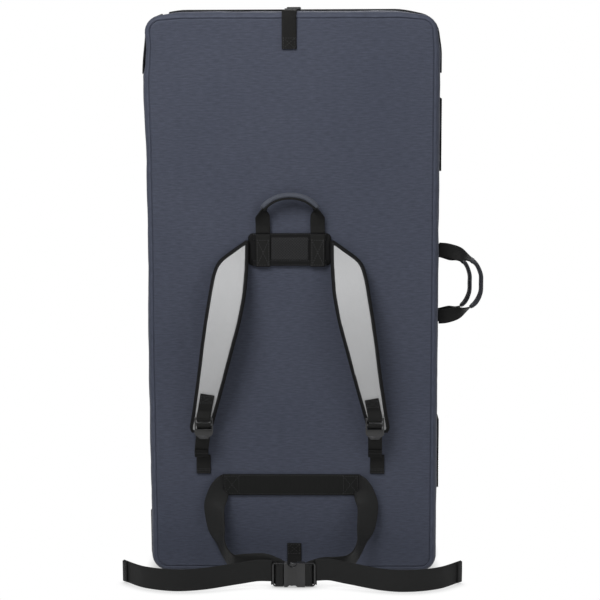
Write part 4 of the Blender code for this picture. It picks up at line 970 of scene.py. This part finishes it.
def drawn_in(outline, distance):
    """A closed outline in X and Z, drawn in by a distance."""
    befores, afters = outline[-1:] + outline[:-1], outline[1:] + outline[:1]
    area = sum(before[0] * here[1] - here[0] * before[1] for before, here in zip(befores, outline))
    moved = []
    for before, here, after in zip(befores, map(Vector, outline), afters):
        into = (here - Vector(before)).normalized()
        travel = (into + (Vector(after) - here).normalized()).normalized()
        inwards = Vector((-travel[1], travel[0])) * (1 if area > 0 else -1)
        moved.append(here + inwards * distance / max(travel.dot(into), 0.6))
    return moved


TAPE_SECTION = [(0.0062, -0.0048), (0.0052, -0.0054), (0.0030, -0.0055), (0.0013, -0.0050), (0.0003, -0.0036),
                (0.0, 0.0), (0.0003, 0.0036), (0.0013, 0.0050), (0.0030, 0.0053), (0.0062, 0.0051)]
for hand, side, lean in (("left", -1, 0.0028), ("right", 1, 0.0002)):
    strap = hand + "_strap"
    inner, outer = [[(HARNESS_X + side * (STRAP_INNER + lean * s[0] * s[0] + s[edge] * STRAP_SPREAD),
                      STRAP_TOP - s[0] * STRAP_LENGTH) for s in stations] for edge in (1, 2)]
    outline = inner + outer[::-1]
    rings = [drawn_in(outline, distance) for distance, _ in TAPE_SECTION]
    verts, uvs = [], []
    for at, reach in enumerate(runs_along(outline + outline[:1])):
        for column, (ring, (_, off)) in enumerate(zip(rings, TAPE_SECTION)):
            x, z = ring[at % len(outline)]
            pull = 0.00035 * wrinkle(reach * 90, off * 40, side)
            verts.append((x, strap_y(z) + off + pull, z))
            uvs.append((column * 0.0024, reach))
    size = len(TAPE_SECTION)
    faces = [(row + column, row + (column + 1) % size, row + size + (column + 1) % size, row + size + column)
             for row in range(0, len(outline) * size, size) for column in range(size)]
    ready(closed_mesh(strap + "_tape", verts, faces, uvs), tape_cloth, strap, "binding", strap + "_binding")
    line = drawn_in(outline, TAPE - 0.0015)
    seam = [[(x, strap_y(z) + off, z) for x, z in line + line[:1]] for off in (-0.0058, 0.0054)]
    stitches(strap + "_seam", seam, strap, slot="binding", spacing=0.0034, length=0.0025)

    cut = drawn_in(outline, TAPE - 0.0012)
    rows, columns = len(stations) - 1, 14
    for name, cloth, slot_name, node, back, front, crown in (
            ("face", strap_cloth, "strap_face", "_face", 0.0040, 0.0049, 0.0009),
            ("padding", mesh_finish, "mesh", "_foam", -0.0042, 0.0035, 0.0)):
        verts = []
        for level in (front, back):
            for start, end in zip(cut[:rows + 1], cut[::-1]):
                for column in range(columns + 1):
                    share = column / columns
                    x, z = start + (end - start) * share
                    edge = min(share, 1 - share) * (end - start).length
                    lift = crown * (1 - (1 - min(1, edge / 0.014)) ** 2) - 0.0002
                    ripple = 0.0003 * wrinkle(x * 40, z * 40, side * 3) if level == front else 0
                    verts.append((x, strap_y(z) - level - lift - ripple, z))
        faces = slab_faces(grid_faces(rows, columns), grid_border(rows, columns), len(verts) // 2)
        uvs = [(x, z) for x, _, z in verts]
        layer = closed_mesh(hand + "_" + name + "_layer", verts, faces, uvs)
        ready(layer, cloth, strap, slot_name, strap + node)


# Adjusters: webbing sewn to the strap's lower face and looped over the lock's top bar, the
# moulded ladder lock, its loose tail with a folded end, and the anchor sewn to the pad.
def edge_wear_and_highlight(tree, threshold, gain):
    """How sharp an edge is, from 0 to 1: worn paint on the hooks, a painted highlight on the plastic."""
    edges = add_node(tree, "ShaderNodeNewGeometry").outputs["Pointiness"]
    return math_node(tree, "MULTIPLY", math_node(tree, "SUBTRACT", edges, threshold, True), gain, True)


# Moulded plastic: black, with its sharp edges painted lighter as a painted highlight.
plastic_finish, tree, maths = new_material("moulded_plastic")
place = object_place(tree)
rough = maths("ADD", maths("MULTIPLY", noise_node(tree, place, 60), 0.14), 0.24)
tone = blend_node(tree, edge_wear_and_highlight(tree, 0.515, 9), (0.0150, 0.0150, 0.0155, 1), (0.075, 0.075, 0.080, 1))
surfaced(tree, tone, rough, noise_node(tree, place, 1300, 3), 0.0001, 0.35)


def prism(name, outline, low_y, high_y):
    """A plate with an outline in X and Z between two places in Y."""
    verts = [(x, y, z) for y in (low_y, high_y) for x, z in outline]
    border = list(range(len(outline)))
    return closed_mesh(name, verts, slab_faces([tuple(border)], border, len(outline)))


BEVEL_FROM = radians(28)
SHARP_FROM = radians(40)


def softened(piece, width, segments=2):
    """Rounds the edges of a moulded or pressed piece, and applies it."""
    modifier = piece.modifiers.new("rounding", "BEVEL")
    modifier.width = width
    modifier.segments = segments
    modifier.limit_method = "ANGLE"
    modifier.angle_limit = BEVEL_FROM
    piece.data = applied(piece)
    piece.data.set_sharp_from_angle(angle=SHARP_FROM)
    return piece


def moulded_copy(node, name, width):
    """A CAD node's own shape with its mesh merged and its edges rounded."""
    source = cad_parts[node]
    made = linked(name, source.data.copy())
    made.data.transform(source.matrix_world)
    made.data.materials.clear()
    shape = bmesh.new()
    shape.from_mesh(made.data)
    bmesh.ops.remove_doubles(shape, verts=shape.verts, dist=0.00002)
    bmesh.ops.dissolve_limit(shape, angle_limit=radians(2), verts=shape.verts, edges=shape.edges)
    shape.to_mesh(made.data)
    shape.free()
    return softened(made, width)


SNUG = 0.0006
ANCHOR_Y = -0.0442
LOCK_X = 0.1495
LOCK_Y = -0.07591
LOCK_TOP = 0.2915
LOCK_OUTS = ((-0.0030, 0.2938), (-0.0034, 0.2896), (-0.0026, 0.2862), (0.0002, 0.2850), (0.0030, 0.2870),
             (0.0031, 0.2930))
for hand, side, shift, raised, slant, start, tail_end, anchor_shift in (
        ("left", -1, 0.0, 0.0008, 0.0070, 0.3340, -0.0062, -0.0038),
        ("right", 1, -0.0030, 0.0, -0.0068, 0.3255, 0.0010, 0.0020)):
    strap, adjuster = hand + "_strap", hand + "_adjuster"
    x = HARNESS_X + side * LOCK_X + shift
    lock = moulded_copy(hand + "_ladder_lock", hand + "_lock_frame", 0.0005)
    lock.data.transform(Matrix.Translation((shift, 0, 0)))
    grips = [lock]
    for step in range(4):
        z, half = LOCK_TOP - 0.0325 - step * 0.0017, 0.0125 - step * 0.0016
        rib = prism("grip", corners(x - half, x + half, z, z + 0.0008), LOCK_Y - 0.0021, LOCK_Y - 0.0012)
        grips.append(softened(rib, 0.0002, 1))
    for z in (LOCK_TOP - 0.0021, LOCK_TOP - 0.0123):
        bar = corners(x - 0.0140, x + 0.0140, z - 0.0017, z + 0.0017)
        grips.append(softened(prism("bar", bar, LOCK_Y - 0.0019, LOCK_Y + 0.0010), 0.0006))
    lock = joined(hand + "_lock_body", grips)
    lock.data.transform(Matrix.Translation((0, 0, raised)))
    ready(lock, plastic_finish, adjuster, "plastic", hand + "_ladder_lock")

    def leaning(z):
        """X on the webbing above the lock, which leans."""
        return x + slant * (z - 0.294) / 0.036

    def hung(places):
        """Places on the tail, drawn sideways as it comes down."""
        return [(x + tail_end * eased(0.275, 0.220, z), y, z + raised * eased(0.220, 0.270, z)) for y, z in places]

    run = [(leaning(z), strap_y(z) - 0.0072, z) for z in (start, 0.322, 0.313, 0.303)]
    run += [(x, LOCK_Y + off, z + raised) for off, z in LOCK_OUTS]
    web(strap + "_webbing_loop", run, strap, strap + "_webbing", width=WEBBING - SNUG)
    sewn = [(leaning(z) + dx, strap_y(z) - 0.0083, z)
            for dx, z in corners(-0.0095, 0.0095, start - 0.015, start - 0.0025)]
    stitches(strap + "_webbing_stitching", crossed(*sewn), strap)

    tail_run = hung([(LOCK_Y - 0.0030, 0.2810), (LOCK_Y - 0.0030, 0.2770), (LOCK_Y, 0.2741),
                     (LOCK_Y + 0.0027, 0.2715), (LOCK_Y + 0.0030, 0.2645), (LOCK_Y + 0.0045, 0.2534),
                     (-0.0620, 0.2315), (-0.0515, 0.2170)])
    fold_run = hung([(-0.0650, 0.2315), (-0.0585, 0.2240), (-0.0535, 0.2164)])
    tail = band(hand + "_tail_webbing", tail_run, (1, 0, 0), WEBBING - SNUG)
    tail = joined(hand + "_tail_webbing", [tail, band("tail_fold", fold_run, (1, 0, 0), WEBBING - 0.0008, steps=5)])
    ready(tail, webbing_cloth, adjuster, "webbing", adjuster + "_tail")
    hem = [(x + tail_end + dx, -0.0600, 0.2242) for dx in (-0.010, 0.010)]
    stitches(hand + "_tail_stitching", [hem], adjuster, spacing=0.003, length=0.0024)

    anchor_x = HARNESS_X + side * LOCK_X + anchor_shift
    anchor_run = [(anchor_x, ANCHOR_Y, z) for z in (0.1840, 0.193, 0.205, 0.2180)]
    web(hand + "_anchor_loop", anchor_run, "front_half", hand + "_anchor_webbing", steps=5, wave=0.0002)
    rows = [[(anchor_x + dx, ANCHOR_Y - 0.00115, z) for dx in (-0.0105, 0.0105)] for z in (0.1865, 0.1895, 0.1925)]
    stitches(hand + "_anchor_stitching", rows, "front_half", spacing=0.0026, length=0.0022)


# Waist belt: a wide ribbed band sewn across the front face, two loops of smoother belt webbing
# that hang from its ends to the ground, and two loose tails on edge with folded, sewn ends.
belt_cloth = cloth_finish(
    "belt_cloth", (0.0172, 0.0176, 0.0176), (0.026, 0.026, 0.026), (0.0020, 0.0010), 0.35, 0.0002, 0.5,
    amount=0.3, patch=16, shine=0.15)
BAND_X = -0.0035
BAND_Z = 0.164
BAND_Y = -0.04413
BAND_HALF = 0.1201
BAND_STITCH_Y = BAND_Y - 0.0023
BUCKLE_Y = -0.112
RUN_Z = 0.0203
BAND_ENDS = (-0.1195, -0.08, -0.03, 0.03, 0.08, 0.1195)
waist = band("waist_webbing", [(BAND_X + dx, BAND_Y - 0.0010, BAND_Z) for dx in BAND_ENDS], (0, 0, 1), BELT, THICK,
             steps=14, columns=10, wave=0.0003)
ready(waist, band_cloth, "front_half", "webbing", "waist_band")
rows = []
for side in (-1, 1):
    rows += box_x(BAND_X + side * 0.1165, BAND_X + side * 0.092, BAND_Z - 0.0155, BAND_Z + 0.0155, BAND_STITCH_Y)
rows += [[(BAND_X + dx, BAND_STITCH_Y, BAND_Z + dz) for dx in (-0.09, 0.09)] for dz in (-0.0165, 0.0165)]
stitches("waist_stitching", rows, "front_half")

# For each station of a loop: how far out, forward and up it is, and the way its width lies. The
# right loop ends two stations sooner, behind the socket, and both are lifted a little near there
LOOP_SHARES = [(0.955, -0.004, 1.0, (0, 0, 1)), (0.988, 0.0, 0.998, (0, 0, 1)), (1.010, 0.038, 0.990, (0.1, 0, 1)),
               (1.038, 0.090, 0.962, (0.3, 0, 1)), (1.08, 0.17, 0.87, (0.8, 0.05, 0.75)),
               (1.12, 0.27, 0.74, (1, 0.3, 0.1)), (1.09, 0.36, 0.50, (0.85, 0.55, 0)),
               (1.03, 0.44, 0.33, (0.5, 0.85, -0.15)), (0.94, 0.54, 0.185, (0.35, 0.8, -0.6)),
               (0.81, 0.68, 0.095, (0.1, 0.4, -1)), (0.63, 0.83, 0.06, (0, 0.1, -1)),
               (0.48, 0.92, 0.05, (0, 0, -1)), (0.36, 0.975, 0.015, (0, 0, -1)), (0.26, 1.0, 0.0, (0, 0, -1)),
               (0.18, 1.0, 0.0, (0, 0, -1)), (0.115, 1.0, 0.0, (0, 0, -1))]
LOOP_LIFTS = {"left": (0.05, 0.075, 0.115, 0.10, 0.065, 0.035), "right": (0.015, 0.030, 0.045, 0.03)}
LOOP_START = BAND_Y - THICK / 2
LOOP_REACH = LOOP_START + 0.1077
for hand, side in HANDS:
    knots, ways = [], []
    for (out_share, forward, up_share, across), lift in zip(LOOP_SHARES, [0.0] * 10 + list(LOOP_LIFTS[hand])):
        knots.append(Vector((BAND_X + side * out_share * BAND_HALF, LOOP_START - forward * LOOP_REACH,
                             RUN_Z + (BAND_Z - RUN_Z) * (up_share + lift))))
        ways.append(Vector((side * across[0], *across[1:])))
    hanging = ribbon(hand + "_belt_webbing", smooth_curve(knots, 8), smooth_curve(ways, 8), BELT, THICK, columns=8,
                     wave=0.0006)
    ready(hanging, belt_cloth, "waist_belt", "webbing", hand + "_belt_loop")

# For each station of a tail: how far along it is, and its bow towards the viewer
TAIL_SHARES = [(0, 0), (0.10, 0.02), (0.22, 0.20), (0.45, 0.82), (0.64, 1), (0.84, 0.45), (1, -0.85)]
TAIL_LIFTS = {"left": (0.0085, 0.0085, 0.0050, 0.0010, 0, 0, 0), "right": (0.0095, 0.0105, 0.0060, 0.0005, 0, 0, 0)}
TAIL_BOW = 0.028
HEM_OFFSET = 0.0021
OVER_BAR = [(0.0012, 0.0), (-0.0022, 0.0044), (-0.0056, 0.0030), (-0.0070, -0.0022), (-0.0095, -0.0045),
            (-0.0160, -0.0048), (-0.0188, -0.0040), (-0.0198, -0.0010)]
for hand, side, start_x, reach, body in (("left", -1, -0.0356, 0.2602, "buckle_plug_side"),
                                         ("right", 1, 0.0400, 0.2525, "waist_belt")):
    knots = [Vector((start_x + side * out_share * reach, BUCKLE_Y - bow * TAIL_BOW, RUN_Z + 0.0007 + lift))
             for (out_share, bow), lift in zip(TAIL_SHARES, TAIL_LIFTS[hand])]
    route = smooth_curve(knots, 10)
    upright = [Vector((0, 0, 1))] * len(route)
    folded = [p + u * side * HEM_OFFSET for p, _, u in frames_along(route[-3:], upright[-3:])]
    knots = [(start_x + side * along, BUCKLE_Y + off, RUN_Z + 0.0022) for along, off in OVER_BAR]
    tail = joined(hand + "_belt_tail_webbing", [
        ribbon("belt_tail", route, upright, BELT + 0.0012, THICK, columns=8, wave=0.0009),
        ribbon("belt_hem", folded, upright[-3:], BELT - 0.0006, THICK, columns=8, wave=0.0003),
        band("belt_wrap", knots, (0, 0, 1), BELT, THICK, columns=8, wave=0.0003)])
    ready(tail, belt_cloth, body, "webbing", hand + "_belt_tail")
    p, _, u = frames_along(route, upright)[-3]
    rows = [[p + u * side * off + Vector((side * dx, 0, dz)) for dz in (-0.016, 0, 0.016)]
            for off in (-0.0012, 0.0034) for dx in (0.0015, 0.0035)]
    stitches(hand + "_belt_tail_stitching", rows, body, spacing=0.0034, length=0.0026)


# Side release buckle of moulded plastic: a socket with a thumb notch above and below, where the
# prongs' ears show, and a webbing frame on each half with a bar that the belt goes over.
SOCKET_LEFT = -0.0150
SOCKET_RIGHT = 0.0218
LUG_LEFT, LUG_RIGHT = -0.0100, 0.0090
BUCKLE_LOW = 0.0012
BUCKLE_HIGH = 0.0442
NOTCH = [(0.0078, 0.0), (0.0070, 0.0022), (0.0048, 0.0052), (0.0012, 0.0068), (-0.0024, 0.0068), (-0.0060, 0.0052),
         (-0.0082, 0.0022), (-0.0090, 0.0)]


def rounded_outline(low_x, high_x, low_z, high_z, radii):
    """A rectangle's outline, with a radius for each corner from low left round to high left."""
    turns = ((low_x, 1, low_z, 1, 180), (high_x, -1, low_z, 1, 270), (high_x, -1, high_z, -1, 0),
             (low_x, 1, high_z, -1, 90))
    outline = []
    for (x, x_way, z, z_way, start), radius in zip(turns, radii):
        for step in range(6):
            turn = radians(start + 90 * step / 5)
            outline.append((x + radius * (x_way + cos(turn)), z + radius * (z_way + sin(turn))))
    return outline


def slotted_plate(name, outer, inner, low_y, high_y):
    """A plate between two outlines of as many points, with a slot through it."""
    count = len(outer)
    verts = [(x, y, z) for outline in (outer, inner) for y in (low_y, high_y) for x, z in outline]
    faces = []
    for here in range(count):
        after = (here + 1) % count
        for first, second in ((0, 1), (2, 3), (0, 2), (1, 3)):
            low, high = first * count, second * count
            faces.append((low + here, low + after, high + after, high + here))
    return closed_mesh(name, verts, faces)


frames_made = {}
for half, xs, slot_xs, radii in (
        ("plug", (-0.0354, -0.0152), (-0.0324, -0.0275), (0.0065, 0.0015, 0.0015, 0.0050)),
        ("socket", (0.0216, 0.0398), (0.0312, 0.0366), (0.0015, 0.0065, 0.0050, 0.0015))):
    outer = rounded_outline(*xs, BUCKLE_LOW, BUCKLE_HIGH - 0.0006, radii)
    inner = rounded_outline(*slot_xs, BUCKLE_LOW + 0.0020, BUCKLE_HIGH - 0.0024, (0.0012,) * 4)
    plate = slotted_plate(half + "_frame", outer, inner, BUCKLE_Y - 0.0031, BUCKLE_Y + 0.0031)
    frames_made[half] = softened(plate, 0.0010, 3)
outline = [(SOCKET_LEFT, BUCKLE_LOW), (LUG_LEFT, BUCKLE_LOW)]
outline += [(x, BUCKLE_LOW + deep * 0.5) for x, deep in NOTCH[::-1]]
outline += corners(LUG_RIGHT, SOCKET_RIGHT, BUCKLE_LOW, BUCKLE_HIGH)
outline += [(x, BUCKLE_HIGH - deep) for x, deep in NOTCH] + [(LUG_LEFT, BUCKLE_HIGH), (SOCKET_LEFT, BUCKLE_HIGH)]
housing = softened(prism("socket_housing", outline, BUCKLE_Y - 0.0061, BUCKLE_Y + 0.0060), 0.0015, 4)
female = joined("socket_moulding", [housing, frames_made["socket"]])
ready(female, plastic_finish, "waist_belt", "plastic", "buckle_socket")
guide = rounded_outline(-0.0170, 0.0100, 0.0180, 0.0270, (0.0010,) * 4)
guide = softened(prism("plug_guide", guide, BUCKLE_Y - 0.0026, BUCKLE_Y + 0.0026), 0.0006)
male = joined("plug_moulding", [frames_made["plug"], guide])
ready(male, plastic_finish, "buckle_plug_side", "plastic", "buckle_plug")
for row in ("upper", "lower"):
    arm = moulded_copy("buckle_" + row + "_prong", row + "_arm", 0.0005)
    ready(arm, plastic_finish, "buckle_plug_side", "plastic", "buckle_" + row + "_prong")


# Flat hooks of painted steel at the end flaps, with the paint a little worn at the edges.
hook_paint, tree, maths = new_material("painted_hook")
chip = noise_node(tree, object_place(tree), 420)
bare = maths("MULTIPLY", edge_wear_and_highlight(tree, 0.52, 12), chip)
surfaced(tree, blend_node(tree, bare, (0.016, 0.016, 0.017, 1), (0.30, 0.30, 0.31, 1)),
         maths("ADD", maths("MULTIPLY", chip, 0.15), 0.32), more={"Metallic": bare})
for end in ("top", "bottom"):
    hook = moulded_copy(end + "_hook", end + "_hook_plate", 0.0004)
    ready(hook, hook_paint, end + "_end_flap", "hook_metal", end + "_hook")
